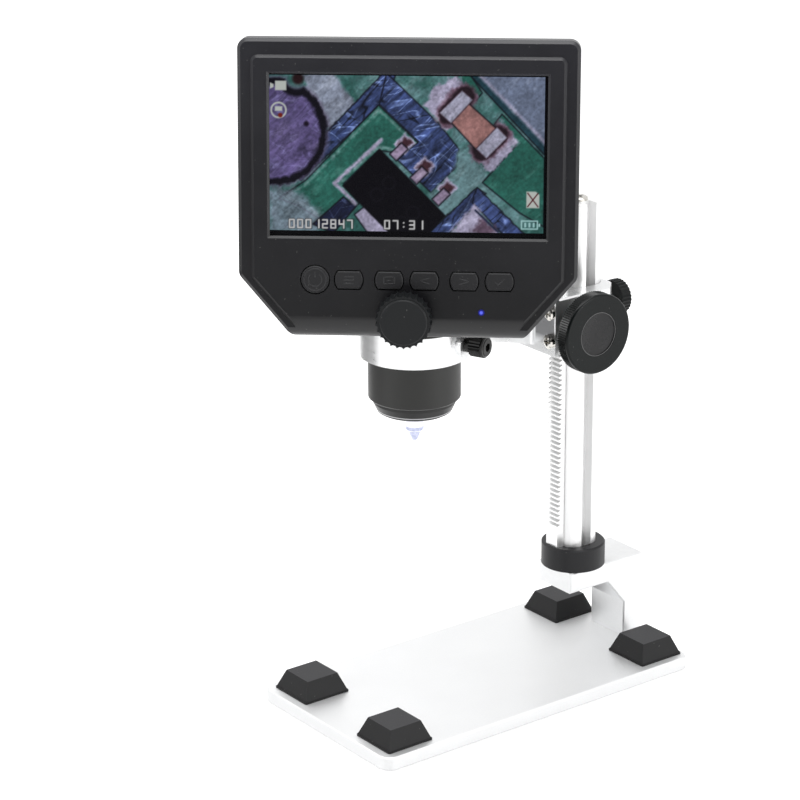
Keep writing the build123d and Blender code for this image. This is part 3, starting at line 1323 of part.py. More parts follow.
def make_focus_rack():
    """Short rack beside the focus gear, joined to the barrel by a web through the tube's slot."""
    barrel_r = TUBE_BORE_R - FIT
    pitch_line = FOCUS_X + FOCUS_GEAR_R
    tips = pitch_line - FOCUS_MODULE
    pitch = pi * FOCUS_MODULE
    tooth_depth = FOCUS_MODULE + FOCUS_DEDENDUM
    middle = (FOCUS_RACK_BOTTOM + FOCUS_RACK_TOP) / 2
    height = FOCUS_RACK_TOP - FOCUS_RACK_BOTTOM
    web = focus_web_x()
    steps = int(height / pitch / 2)
    front = FOCUS_GEAR_REAR + FOCUS_GEAR_WIDTH
    with BuildPart() as focus_rack:
        with BuildSketch(facing_forward(0, -FOCUS_GEAR_REAR, 0)):
            with Locations((tips + FOCUS_RACK_THICK / 2, middle)):
                Rectangle(FOCUS_RACK_THICK, height)
        extrude(amount=FOCUS_GEAR_WIDTH)
        with BuildSketch(facing_forward(0, -FOCUS_GEAR_REAR - FOCUS_GEAR_WIDTH / 2, 0)):
            with Locations(*[(tips, FOCUS_Z + k * pitch) for k in range(-steps - 1, steps + 2)]):
                Polygon(*rack_gap(pitch, tooth_depth, FOCUS_MODULE, BACKLASH), align=None)
        extrude(amount=FOCUS_GEAR_WIDTH, both=True, mode=Mode.SUBTRACT)
        with BuildSketch(facing_forward(web, 0, middle)):
            Rectangle(FOCUS_WEB, height)
        extrude(amount=front)
        with BuildSketch(Plane.XY.offset(FOCUS_RACK_BOTTOM)):
            Circle(barrel_r)
        extrude(amount=height, mode=Mode.SUBTRACT)
    save(focus_rack.part, "focus_rack")


def make_focus_knob():
    """Scalloped knob with a flat disc on its face, and the shaft with the focus gear."""
    face_rear = -FOCUS_FACE
    with BuildPart() as focus_knob:
        with BuildSketch(focus_plane(face_rear + FOCUS_KNOB_THICK)):
            Circle(FOCUS_KNOB_R)
            with PolarLocations(FOCUS_KNOB_R + FOCUS_SCALLOP_OUT, FOCUS_SCALLOPS):
                Circle(FOCUS_SCALLOP_R, mode=Mode.SUBTRACT)
        extrude(amount=FOCUS_KNOB_THICK - FOCUS_DISC_PROUD)
        with BuildSketch(focus_plane(face_rear + FOCUS_DISC_PROUD)):
            Circle(FOCUS_DISC_R)
        extrude(amount=FOCUS_DISC_PROUD)
        chamfer(focus_knob.faces().sort_by(FORWARD_AXIS)[-1].edges(), length=FOCUS_DISC_EDGE)
        with BuildSketch(focus_plane(face_rear + FOCUS_KNOB_THICK)):
            Circle(FOCUS_SHAFT_R + FIT)
        extrude(amount=FOCUS_KNOB_THICK * SHAFT_SEAT, mode=Mode.SUBTRACT)
    save(focus_knob.part, "focus_knob")
    with BuildPart() as focus_shaft:
        with BuildSketch(focus_plane(-FOCUS_GEAR_REAR)):
            Circle(FOCUS_SHAFT_R)
        extrude(amount=FOCUS_FACE - FOCUS_KNOB_THICK * (1 - SHAFT_SEAT) - FOCUS_GEAR_REAR)
        with BuildSketch(focus_plane(-FOCUS_GEAR_REAR)):
            Circle(FOCUS_GEAR_R - FOCUS_DEDENDUM)
            with PolarLocations(0, FOCUS_TEETH):
                Polygon(
                    *gear_tooth(FOCUS_TEETH, FOCUS_GEAR_R, FOCUS_MODULE, FOCUS_DEDENDUM, BACKLASH),
                    align=None,
                )
        extrude(amount=FOCUS_GEAR_WIDTH)
    save(focus_shaft.part, "focus_shaft")


make_base_plate()
make_rubber_pads()
make_column_bracket()
make_bracket_screws()
make_column_foot_screw()
make_column()
make_column_collar()
make_rack()
make_column_top_screw()
make_carriage_block()
make_shaft_bushings()
make_ring_arm()
make_arm_screws()
make_ring_screw()
make_pinion_shaft()
make_drive_knobs()
make_lock_knob()
make_front_bezel()
make_rear_shell()
make_shell_screws()
make_lcd_panel()
make_key_board()
make_main_board()
make_battery()
make_ports()
make_status_led()
make_keys()
make_camera_tube()
make_lens_ring()
make_led_board()
make_lens_nose()
make_sensor_board()
make_lens_barrel()
make_focus_rack()
make_focus_knob()
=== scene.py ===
# %% [markdown]
# # A digital microscope on its stand
#
# The stand, the head and every moving piece arrive from the CAD frame at their right size and place. This
# lesson dresses them: it sets up a camera and a soft studio, writes a small language for shader maths,
# gives each piece the finish that the real one has, and adds the fine pieces that only the eye needs, such
# as the symbols on the keys and the live picture on the screen.

# %% Load the frame and measure it
import math

import bpy
import numpy as np
from mathutils import Matrix, Vector


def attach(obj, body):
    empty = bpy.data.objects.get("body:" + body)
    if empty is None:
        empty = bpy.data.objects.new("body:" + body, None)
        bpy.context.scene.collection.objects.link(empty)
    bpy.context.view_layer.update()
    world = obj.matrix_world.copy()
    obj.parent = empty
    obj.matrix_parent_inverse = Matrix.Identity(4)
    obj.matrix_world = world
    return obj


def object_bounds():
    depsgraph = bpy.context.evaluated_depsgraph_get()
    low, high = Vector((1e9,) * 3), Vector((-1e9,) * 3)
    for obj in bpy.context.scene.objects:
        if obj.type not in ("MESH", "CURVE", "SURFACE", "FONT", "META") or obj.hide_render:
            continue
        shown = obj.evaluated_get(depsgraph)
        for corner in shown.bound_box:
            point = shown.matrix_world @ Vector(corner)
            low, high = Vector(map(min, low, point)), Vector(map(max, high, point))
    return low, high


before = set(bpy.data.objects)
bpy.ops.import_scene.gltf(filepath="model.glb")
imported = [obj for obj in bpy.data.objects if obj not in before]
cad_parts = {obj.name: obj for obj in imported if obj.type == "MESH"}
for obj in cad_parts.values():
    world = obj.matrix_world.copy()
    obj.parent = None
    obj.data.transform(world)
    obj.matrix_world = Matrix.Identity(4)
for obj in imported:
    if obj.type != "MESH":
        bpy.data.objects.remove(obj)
cad_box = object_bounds()
print("CAD box in metres:", [[round(v, 4) for v in corner] for corner in cad_box])

# %% [markdown]
# ## Where the head looks
#
# The head is turned away from the column and its screen leans back a little. Every small piece on its front
# is easiest to draw flat, in millimetres to the right and up from the middle of the screen, and to be
# carried to its place by one function. The three arrows below say which way right, up and out of the screen
# point.

# %% The screen's own directions
HEAD_YAW = math.radians(49.24)
SCREEN_TILT = math.radians(7.36)
SCREEN_REACH, SCREEN_HEIGHT = 34.8, 226.7  # mm from the optical axis and the table to the screen's middle
UP = np.array([0.0, 0.0, 1.0])
right = np.array([math.cos(HEAD_YAW), math.sin(HEAD_YAW), 0.0])
forward = np.array([math.sin(HEAD_YAW), -math.cos(HEAD_YAW), 0.0])
screen_out = forward * math.cos(SCREEN_TILT) + UP * math.sin(SCREEN_TILT)
screen_up = np.cross(screen_out, right)
screen_middle = forward * SCREEN_REACH + UP * SCREEN_HEIGHT


def on_screen(points):
    """Carry an array of (right, up, out) millimetres from the screen's middle to metres in the frame."""
    across, up, out = np.asarray(points, float).T[:, :, None]
    return (screen_middle + across * right + up * screen_up + out * screen_out) / 1000.0


print("screen faces", np.round(screen_out, 3))

# %% [markdown]
# ## The camera
#
# A long lens a metre away flattens a small object without making its back swell. The camera is placed by
# three arrows: the direction that is to the right in the picture, the one that is up in it, and the one
# that it looks along. They become the columns of its matrix, with the last one turned round, because a
# Blender camera looks along its own minus Z.

# %% Place the camera
SENSOR_WIDTH = 36.0
FOCAL_PIXELS, WIDTH_PIXELS = 2968.54, 800.0  # the lens's length and the picture's width, both in its pixels
camera_data = bpy.data.cameras.new("view")
camera_data.sensor_width = SENSOR_WIDTH
camera_data.lens = SENSOR_WIDTH * FOCAL_PIXELS / WIDTH_PIXELS
camera_data.clip_start = 0.05
camera_data.clip_end = 20.0
camera = bpy.data.objects.new("view", camera_data)
bpy.context.scene.collection.objects.link(camera)
look_right = Vector((0.604151, 0.796855, -0.004888))
look_up = Vector((-0.267686, 0.208721, 0.940628))
look_along = Vector((-0.750564, 0.566973, -0.339405))
camera_place = Vector((0.822849, -0.628312, 0.497791))
camera_turn = Matrix((look_right, look_up, -look_along)).transposed()
camera.matrix_world = Matrix.Translation(camera_place) @ camera_turn.to_4x4()
bpy.context.scene.camera = camera
print("lens", round(camera_data.lens, 2), "mm, distance", round(camera_place.length, 3), "m")

# %% [markdown]
# ## Shader maths as Python
#
# A pattern is often a few sums on coordinates. Wired by hand that is dozens of Math nodes, so the class
# below lets a socket take part in ordinary expressions: adding two of them adds an Add node, and so on.
# Anything else comes from one method of the finish, which takes the node's type, its settings and what goes
# in. Patterns that belong to a place on the object read its own coordinates, one axis at a time, in
# millimetres.

# %% Sockets that can be added and multiplied
X, Y, Z = 0, 1, 2  # east, north and up in the frame
MILLIMETRES = (1000.0, 1000.0, 1000.0)  # the scale that turns metres into millimetres
WHITE = (1.0, 1.0, 1.0)


def scaled(colour, share):
    """The same colour, darker or paler."""
    return tuple(part * share for part in colour)


class Wire:
    """One output socket. Each operator adds one Math node and gives back its output."""

    def __init__(self, finish, socket):
        self.finish = finish
        self.socket = socket

    def _math(self, operation, *values):
        inputs = {index: value for index, value in enumerate(values)}
        return self.finish.node("ShaderNodeMath", {"operation": operation}, inputs)

    def __add__(self, other):
        return self._math("ADD", self, other)

    def __radd__(self, other):
        return self._math("ADD", other, self)

    def __sub__(self, other):
        return self._math("SUBTRACT", self, other)

    def __rsub__(self, other):
        return self._math("SUBTRACT", other, self)

    def __mul__(self, other):
        return self._math("MULTIPLY", self, other)

    def __rmul__(self, other):
        return self._math("MULTIPLY", other, self)

    def __truediv__(self, other):
        return self._math("DIVIDE", self, other)

    def __abs__(self):
        return self._math("ABSOLUTE", self)

    def least(self, other):
        """The smaller of two values."""
        return self._math("MINIMUM", self, other)

    def most(self, other):
        """The larger of two values."""
        return self._math("MAXIMUM", self, other)

    def root(self):
        return self._math("SQRT", self)

    def wave(self):
        return self._math("SINE", self)

    def clipped(self):
        """The value held between 0 and 1."""
        return self.least(1.0).most(0.0)


class Finish:
    """A material being written, with one method for every kind of node."""

    def __init__(self, name, tree=None):
        if tree is None:
            self.material = bpy.data.materials.new(name)
            self.material.use_nodes = True
            tree = self.material.node_tree
        self.tree = tree
        self.tree.nodes.clear()

    def node(self, kind, settings=None, inputs=None, output=0):
        """Add a node: its settings first, then a value or a wire for each input named or numbered."""
        made = self.tree.nodes.new(kind)
        for key, value in (settings or {}).items():
            setattr(made, key, value)
        for key, value in (inputs or {}).items():
            socket = made.inputs[key]
            if isinstance(value, Wire):
                self.tree.links.new(value.socket, socket)
            else:
                socket.default_value = (*value, 1.0) if socket.type == "RGBA" else value
        return Wire(self, made.outputs[output]) if made.outputs else None

    def mix(self, factor, low, high):
        """Blend two colours."""
        return self.node("ShaderNodeMix", {"data_type": "RGBA"}, {0: factor, 6: low, 7: high}, output=2)

    def place(self, scale=(1.0, 1.0, 1.0), turn=(0.0, 0.0, 0.0), shift=(0.0, 0.0, 0.0)):
        """Object coordinates in metres, shifted, turned and scaled."""
        raw = self.node("ShaderNodeTexCoord", output=3)
        inputs = {"Vector": raw, "Location": shift, "Rotation": turn, "Scale": scale}
        return self.node("ShaderNodeMapping", {"vector_type": "POINT"}, inputs)

    def axis(self, vector, index):
        """One of a vector's three numbers."""
        return self.node("ShaderNodeSeparateXYZ", None, {0: vector}, output=index)

    def millimetres(self, index):
        """One object coordinate in millimetres."""
        return self.axis(self.place(MILLIMETRES), index)

    def noise(self, vector, scale, detail=2.0, roughness=0.5):
        """A soft random value from 0 to 1 whose blots are about 1 / scale wide."""
        inputs = {"Vector": vector, "Scale": scale, "Detail": detail, "Roughness": roughness}
        return self.node("ShaderNodeTexNoise", {"noise_dimensions": "3D"}, inputs)

    def bump(self, height, depth_mm, strength=1.0):
        """Turn a height from 0 to 1 into a surface relief of a given depth."""
        inputs = {"Strength": strength, "Distance": depth_mm / 1000.0, "Height": height}
        return self.node("ShaderNodeBump", None, inputs)

    def done(self, **inputs):
        """Close the material with a Principled surface; underscores in the names stand for spaces."""
        wires = {key.replace("_", " "): value for key, value in inputs.items()}
        surface = self.node("ShaderNodeBsdfPrincipled", None, wires)
        self.node("ShaderNodeOutputMaterial", None, {"Surface": surface})
        return self.material


print("shader language ready")

# %% [markdown]
# ## A plain studio
#
# A product is easiest to read on a pale floor under broad, soft lamps. The floor is a big disc, a little
# bright of itself to the camera so that it stays pale while it still takes the object's shadow. The world
# lights everything evenly and is white wherever the camera, a reflection or a clear piece looks past the
# floor. Three dark cards stand or lie round the object. Only reflections see them, and they give bright and
# glossy faces something dark to mirror.

# %% Floor, world, lamps and dark cards
FLOOR_RADIUS, FLOOR_DROP, FLOOR_SIDES = 1.6, 0.0002, 96
angles = np.linspace(0, 2 * np.pi, FLOOR_SIDES + 1)[:-1]
floor_depth = np.full(FLOOR_SIDES, -FLOOR_DROP)
floor_points = np.stack([FLOOR_RADIUS * np.cos(angles), FLOOR_RADIUS * np.sin(angles), floor_depth], 1)
floor_mesh = bpy.data.meshes.new("floor")
floor_mesh.from_pydata(floor_points.tolist(), [], [list(range(FLOOR_SIDES))])
floor = bpy.data.objects.new("floor", floor_mesh)
bpy.context.scene.collection.objects.link(floor)

# The floor's own glow is halved under the object, inside its box as seen from above: a painted contact
# shadow.
BOX_MIDDLE = (0.0, 0.5 * (cad_box[0][1] + cad_box[1][1]))
BOX_HALF = (0.5 * (cad_box[1][0] - cad_box[0][0]), 0.5 * (cad_box[1][1] - cad_box[0][1]))
CONTACT_WIDTH = 0.0015  # how far outside the box the glow is whole again, in metres
NEAR_GLOW = 0.46  # what the floor adds of itself round the object
FAR_START, FAR_GLOW = 0.25, 0.22  # from this distance on it adds more, by this much over a metre
CAMERA_RAY, GLOSSY_RAY, CLEAR_RAY = 0, 3, 6  # outputs of the Light Path node


def looked_at(finish):
    """1 where the camera looks, also by way of a reflection or through a clear piece, and 0 for lighting."""
    camera_ray, glossy_ray, clear_ray = (
        finish.node("ShaderNodeLightPath", output=ray) for ray in (CAMERA_RAY, GLOSSY_RAY, CLEAR_RAY))
    return camera_ray.most(glossy_ray).most(clear_ray)


paper = Finish("studio_paper")
paper_grain = paper.noise(paper.place(), 900.0, 3.0)
paper_tone = paper.mix(paper_grain, (0.80, 0.80, 0.80), (0.84, 0.84, 0.84))
lit = paper.node("ShaderNodeBsdfDiffuse", None, {"Color": paper_tone})
out_east = (abs(paper.axis(paper.place(), X) - BOX_MIDDLE[0]) - BOX_HALF[0]).most(0.0)
out_north = (abs(paper.axis(paper.place(), Y) - BOX_MIDDLE[1]) - BOX_HALF[1]).most(0.0)
from_box = (out_east * out_east + out_north * out_north).root()
painted_contact_shadow = (from_box / CONTACT_WIDTH).clipped() * 0.5 + 0.5
far_lift = (from_box - FAR_START).clipped() * FAR_GLOW
glow_strength = looked_at(paper) * (painted_contact_shadow * NEAR_GLOW + far_lift)
glow = paper.node("ShaderNodeEmission", None, {"Color": WHITE, "Strength": glow_strength})
both = paper.node("ShaderNodeAddShader", None, {0: lit, 1: glow})
paper.node("ShaderNodeOutputMaterial", None, {"Surface": both})
floor_mesh.materials.append(paper.material)

world = bpy.data.worlds.new("studio")
bpy.context.scene.world = world
world.use_nodes = True
sky = Finish("studio", world.node_tree)
soft_light = sky.node("ShaderNodeBackground", None, {"Color": WHITE, "Strength": 0.45})
white_view = sky.node("ShaderNodeBackground", None, {"Color": WHITE, "Strength": 1.0})
choice = sky.node("ShaderNodeMixShader", None, {0: looked_at(sky), 1: soft_light, 2: white_view})
sky.node("ShaderNodeOutputWorld", None, {"Surface": choice})


def softbox(name, place, aim, width, height, power):
    """A rectangular area lamp at a place, turned to face a point."""
    lamp = bpy.data.lights.new(name, "AREA")
    lamp.shape = "RECTANGLE"
    lamp.size, lamp.size_y, lamp.energy = width, height, power
    holder = bpy.data.objects.new(name, lamp)
    holder.location = place
    holder.rotation_euler = (Vector(aim) - Vector(place)).to_track_quat("-Z", "Y").to_euler()
    bpy.context.scene.collection.objects.link(holder)


softbox("top_softbox", (0.1, 0.0, 1.1), (0.0, 0.03, 0.1), 0.9, 0.9, 8.3)
softbox("left_softbox", (-0.2, -1.0, 0.6), (0.0, 0.0, 0.15), 0.6, 0.8, 3.5)
softbox("right_softbox", (1.0, 0.45, 0.32), (0.0, 0.05, 0.15), 0.5, 0.5, 3.2)
softbox("rim_softbox", (-0.9, 0.0, 0.95), (0.0, 0.05, 0.15), 0.5, 0.5, 3.5)


def dark_card(name, corners):
    """A velvet card that only reflections see, from its four corners in metres."""
    mesh = bpy.data.meshes.new(name)
    mesh.from_pydata([list(corner) for corner in corners], [], [[0, 1, 2, 3]])
    mesh.materials.append(black_velvet)
    card = bpy.data.objects.new(name, mesh)
    card.visible_camera = card.visible_transmission = False
    card.visible_diffuse = card.visible_shadow = False
    bpy.context.scene.collection.objects.link(card)


velvet = Finish("black_velvet")
pile = velvet.noise(velvet.place(), 800.0, 2.0)
velvet_tone = velvet.mix(pile, (0.004, 0.004, 0.004), (0.01, 0.01, 0.01))
black_velvet = velvet.done(Base_Color=velvet_tone, Roughness=0.9, Specular_IOR_Level=0.1)

# The standing card keeps the black plastic black. The two on the floor give the bright metal its dark sides.
CARD_LIFT = 0.001  # keeps a lying card clear of the floor, in metres
standing = ((-1.1, -0.27), (0.9, -0.27), (0.9, 1.0), (-1.1, 1.0))
card_middle = np.array([1.00, -0.95, 0.28])
dark_card("standing_card", [card_middle + along * right + rise * UP for along, rise in standing])
lying = ((-0.25, 0.0), (0.25, 0.0), (0.25, 0.5), (-0.25, 0.5))
near_edge = np.array([-0.295, -0.175, CARD_LIFT])
edge_way, away = np.array([0.603, -0.798, 0.0]), np.array([-0.798, -0.603, 0.0])
dark_card("lying_card", [near_edge + along * edge_way + out * away for along, out in lying])
beside = ((-0.13, 0.13), (-0.13, 0.26), (-0.5, 0.75), (-0.9, 0.22))
dark_card("side_card", [(east, north, CARD_LIFT) for east, north in beside])
bpy.context.scene.view_settings.view_transform = "Standard"

# %% [markdown]
# ## Finishes for the moulded pieces
#
# The head, knobs and keys are black moulded plastic. A steel mould is spark-eroded so that the plastic
# comes out with a fine matt grain, which hides fingerprints and spreads highlights. Two sizes of noise make
# that grain: a coarse one for the slow change in sheen that handling leaves, and a fine one for the relief
# itself. A third, sparse one leaves a few pale specks of dust.

# %% Black moulded plastic
DUST_LEVEL, DUST_COLOUR = 0.83, (0.55, 0.55, 0.52)  # only the peaks of the noise above this level are dust


def moulded_plastic(name, colour, roughness=0.45, grain_mm=0.35, grain_depth=0.02, sheen_change=0.08,
                    level=0.40, fade=None):
    """Spark-eroded plastic: grain of about grain_mm, relief grain_depth mm deep.

    A fade (low, high, low_share, high_share) scales the colour between two heights in mm: it paints shade and
    light that follow height.
    """
    finish = Finish(name)
    here = finish.place()
    grain = finish.noise(here, 1000.0 / grain_mm, 2.0, 0.6)
    cloud = finish.noise(here, 45.0, 4.0, 0.6)
    dust = (finish.noise(here, 1500.0, 0.0) - DUST_LEVEL) * 30.0
    dark = scaled(colour, 0.85)
    pale = tuple(min(part * 1.25 + 0.001, 1.0) for part in colour)
    if fade is None:
        tone = finish.mix(cloud, dark, pale)
    else:
        low, high, *shares = fade
        tones = [finish.mix(cloud, scaled(dark, share), scaled(pale, share)) for share in shares]
        tone = finish.mix(((finish.millimetres(Z) - low) / (high - low)).clipped(), *tones)
    tone = finish.mix(dust.clipped() * 0.12, tone, DUST_COLOUR)
    rough = (cloud - 0.5) * (2 * sheen_change) + (grain - 0.5) * 0.08 + roughness
    relief = finish.bump(grain, grain_depth, 0.6)
    return finish.done(Base_Color=tone, Roughness=rough, Normal=relief, Specular_IOR_Level=level)


def dress(material, *nodes):
    """Give CAD nodes their finish, in every slot that they have."""
    for node in nodes:
        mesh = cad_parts[node].data
        if not mesh.materials:
            mesh.materials.append(material)
        for index in range(len(mesh.materials)):
            mesh.materials[index] = material
    print(f"{material.name:22s} on {', '.join(nodes)}")


KNOB_AXIS = (64.587, 144.1)  # the drive shaft's place in mm, to the north and up
CAP_RADIUS, CAP_HIGHLIGHT = 8.45, 0.22  # the caps' radius, and how wide the highlight painted round their edge is


def knob_cap():
    """The cap in a drive knob: glossier than the knob, with a highlight painted pale round its edge."""
    finish = Finish("knob_cap_plastic")
    from_y, from_z = finish.millimetres(Y) - KNOB_AXIS[0], finish.millimetres(Z) - KNOB_AXIS[1]
    from_axis = (from_y * from_y + from_z * from_z).root()
    on_edge = ((from_axis - (CAP_RADIUS - CAP_HIGHLIGHT)) * 12.0).clipped()
    cloud = finish.noise(finish.place(), 120.0, 4.0, 0.6)
    grain = finish.noise(finish.place(), 3000.0, 2.0)
    tone = finish.mix(cloud, (0.0120, 0.0120, 0.0130), (0.0170, 0.0170, 0.0180))
    # A pale ring painted round the edge: a painted highlight where the rim catches the light.
    tone = finish.mix(on_edge, tone, (0.20, 0.20, 0.20))
    rough = (cloud - 0.5) * 0.2 + (grain - 0.5) * 0.06 + 0.26
    return finish.done(Base_Color=tone, Roughness=rough, Specular_IOR_Level=0.26,
                       Normal=finish.bump(grain, 0.008, 0.5))


HEAD_SHADE_FADE = (170.0, 262.0, 0.35, 1.45)  # painted shade: the head is darker at its foot, where it sees less of the studio
PAD_TOP = 12.6  # the pads' flat tops, in mm above the table
PAD_LIGHT_FADE = (PAD_TOP - 0.15, PAD_TOP - 0.03, 1.0, 4.0)  # those tops are painted paler: painted light from the lamps above
dress(moulded_plastic("head_plastic", (0.0112, 0.0112, 0.0140), 0.36, level=0.44, fade=HEAD_SHADE_FADE),
      "front_bezel", "rear_shell")
dress(moulded_plastic("key_rubber", (0.0085, 0.0085, 0.0100), 0.52, 0.2, 0.01),
      "power_key", "menu_key", "mode_key", "left_key", "right_key", "ok_key")
dress(moulded_plastic("knob_plastic", (0.0070, 0.0080, 0.0090), 0.46, 0.25, 0.012, level=0.24),
      "focus_knob")
dress(moulded_plastic("collar_plastic", (0.0090, 0.0090, 0.0105), 0.42, 0.3, 0.02, level=0.30),
      "column_collar")
dress(moulded_plastic("drive_knob_plastic", (0.0044, 0.0060, 0.0060), 0.24, 0.3, 0.008, level=0.18),
      "drive_knob_left", "drive_knob_right")
dress(moulded_plastic("lock_knob_plastic", (0.0045, 0.0055, 0.0055), 0.34, 0.3, 0.012, level=0.14),
      "lock_knob")
dress(knob_cap(), "knob_cap_left", "knob_cap_right")
dress(moulded_plastic("pad_rubber", (0.0062, 0.0062, 0.0068), 0.50, 0.5, 0.04, 0.06, 0.26, PAD_LIGHT_FADE),
      "rubber_pads")

# %% [markdown]
# ## Bright metals
#
# Aluminium looks the way it was worked. An extruded bar has fine lines along its length from the die, a
# milled block has lines across its faces, and a blasted and anodised plate is even and satin. All three are
# one metal with noise stretched in a different direction: a mapping that squeezes one axis draws long
# streaks.

# %% Aluminium with lines along one axis
def worked_metal(name, colour, roughness, stretch, line_depth=0.004, cloudiness=0.10, metallic=1.0,
                 painted_shade=None):
    """Metal with streaks: the noise repeats often across an axis and seldom along it (stretch, in 1/m).

    A painted shade is a function that says, in nodes of the finish, how much dark is painted into the colour
    at each place.
    """
    finish = Finish(name)
    lines = finish.noise(finish.place(scale=stretch), 1.0, 3.0, 0.65)
    cloud = finish.noise(finish.place(), 60.0, 4.0, 0.6)
    tone = finish.mix((lines * 0.7 + cloud * 0.3).clipped(), scaled(colour, 0.86), colour)
    if painted_shade is not None:
        # Painted shade: the colour is darkened towards near black wherever the painted shade function says.
        tone = finish.mix(painted_shade(finish), tone, (0.10, 0.10, 0.105))
    rough = (lines - 0.5) * 0.16 + (cloud - 0.5) * (2 * cloudiness) + roughness
    return finish.done(Base_Color=tone, Metallic=metallic, Roughness=rough,
                       Normal=finish.bump(lines, line_depth, 0.5))


FLANGE_THICK = 1.7  # the flange at the arm's back; all these sizes are in mm
FLANGE_LEFT, FLANGE_RIGHT = 1.9, 13.4  # its front face, from the arm's bar to its bright edge
FLANGE_MIDDLE, FLANGE_FADE = 136.2, 4.0  # the height where the painted reflection begins, and how far it takes to deepen
arm_points = np.array([corner.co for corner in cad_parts["ring_arm"].data.vertices])
FLANGE_FACE = 1000.0 * arm_points[:, Y].max() - FLANGE_THICK


def flange_painted_reflection(finish):
    """Painted dark reflection of the head's underside on the arm's flange: only on its front face, from the
    middle up, inside its bright edges.
    """
    spot = finish.place(MILLIMETRES)
    east, north, height = (finish.axis(spot, index) for index in (X, Y, Z))
    on_face = 1.0 - ((abs(north - FLANGE_FACE) - 0.05) * 10.0).clipped()
    inside = ((east - FLANGE_LEFT) * 1.5).clipped() * ((FLANGE_RIGHT - east) * 3.0).clipped()
    return on_face * inside * ((height - FLANGE_MIDDLE) / FLANGE_FADE).clipped() * 0.85


SILVER = (0.90, 0.905, 0.91)
DRAWN = (1400.0, 1400.0, 10.0)  # upright lines
MILLED, TURNED = (25.0, 900.0, 900.0), (60.0, 900.0, 900.0)  # lines from east to west, long and shorter
dress(worked_metal("extruded_aluminium", (0.97, 0.97, 0.97), 0.36, DRAWN, metallic=0.7), "column")
dress(worked_metal("milled_aluminium", SILVER, 0.30, MILLED, metallic=0.9), "carriage_block")
dress(worked_metal("arm_aluminium", SILVER, 0.30, MILLED, metallic=0.9, painted_shade=flange_painted_reflection), "ring_arm")
dress(worked_metal("cast_aluminium", (0.87, 0.875, 0.88), 0.40, (500.0,) * 3, 0.004, 0.05, 0.8),
      "column_bracket")
dress(worked_metal("anodised_plate", (0.88, 0.885, 0.89), 0.45, (1600.0,) * 3, 0.006, 0.03, 0.85),
      "base_plate")
dress(worked_metal("rack_steel", (0.86, 0.86, 0.86), 0.32, (900.0, 40.0, 900.0)), "rack", "focus_rack")
dress(worked_metal("shaft_steel", (0.62, 0.62, 0.62), 0.22, TURNED),
      "pinion_shaft", "focus_shaft", "lock_screw")
dress(worked_metal("bronze", (0.62, 0.42, 0.20), 0.30, TURNED), "shaft_bushings")
dress(worked_metal("nickel_plate", (0.66, 0.64, 0.60), 0.16, (700.0,) * 3, 0.002, 0.14),
      "arm_screws", "bracket_screws", "column_foot_screw", "column_top_screw", "shell_screws")
dress(worked_metal("port_shell_steel", (0.70, 0.70, 0.71), 0.25, (300.0, 300.0, 900.0)),
      "usb_port", "card_slot")

# %% [markdown]
# ## Turned and blackened aluminium
#
# The tube and the ring under it are turned on a lathe and then anodised black. The tool leaves rings, so
# the streaks depend on height alone. Anodising is an oxide layer: it looks like dark, dense plastic with a
# slightly metallic sheen. The edge round the ring's mouth gets a painted highlight line, with painted shade
# below it.

# %% Black anodised tube and ring
HIGHLIGHT_HALF = 0.16  # half the width of the painted highlight line, in mm


def turned_black(name, colour, roughness, edge=None):
    """Black anodised metal with rings that follow the height; an edge at a height gets a painted highlight
    line and painted shade below it.
    """
    finish = Finish(name)
    rings = finish.noise(finish.place(scale=(4.0, 4.0, 2600.0)), 1.0, 2.0, 0.6)
    cloud = finish.noise(finish.place(), 70.0, 4.0, 0.6)
    tone = finish.mix(cloud, scaled(colour, 0.8), scaled(colour, 1.35))
    if edge is not None:
        height = finish.millimetres(Z)
        # A painted highlight along the edge, and painted shade below it.
        painted_highlight = 1.0 - ((abs(height - edge) - HIGHLIGHT_HALF) * 12.0).clipped()
        tone = finish.mix(((edge - height) * 12.0).clipped(), tone, (0.002, 0.002, 0.003))
        tone = finish.mix(painted_highlight * cloud.most(0.6), tone, (0.80, 0.80, 0.82))
    rough = (rings - 0.5) * 0.12 + (cloud - 0.5) * 0.16 + roughness
    return finish.done(Base_Color=tone, Metallic=0.35, Roughness=rough,
                       Normal=finish.bump(rings, 0.006, 0.5))


RING_EDGE = 121.75  # height of the edge round the lens ring's mouth, in mm
dress(turned_black("black_anodised", (0.022, 0.022, 0.021), 0.42), "camera_tube", "lens_barrel")
dress(turned_black("black_anodised_ring", (0.015, 0.015, 0.015), 0.34, RING_EDGE), "lens_ring")

# %% [markdown]
# ## The thumb screw
#
# One turned piece carries two looks: a black knurled grip, and a rim whose edge is polished bright with a
# deep hexagonal socket in its middle. The distance along the screw's own axis tells the rim from the grip,
# and the distance from that axis tells the socket from the rim.

# %% Grip, bright rim and socket by distance
SCREW_ANGLE = math.radians(23.0)
SCREW_END = 30.7  # distance of the head's outer end from the optical axis, in mm
SCREW_HEIGHT = 149.8
SCREW_FACE, SCREW_RIM = 0.55, 3.45  # the polished end's depth, and its rim's inner radius


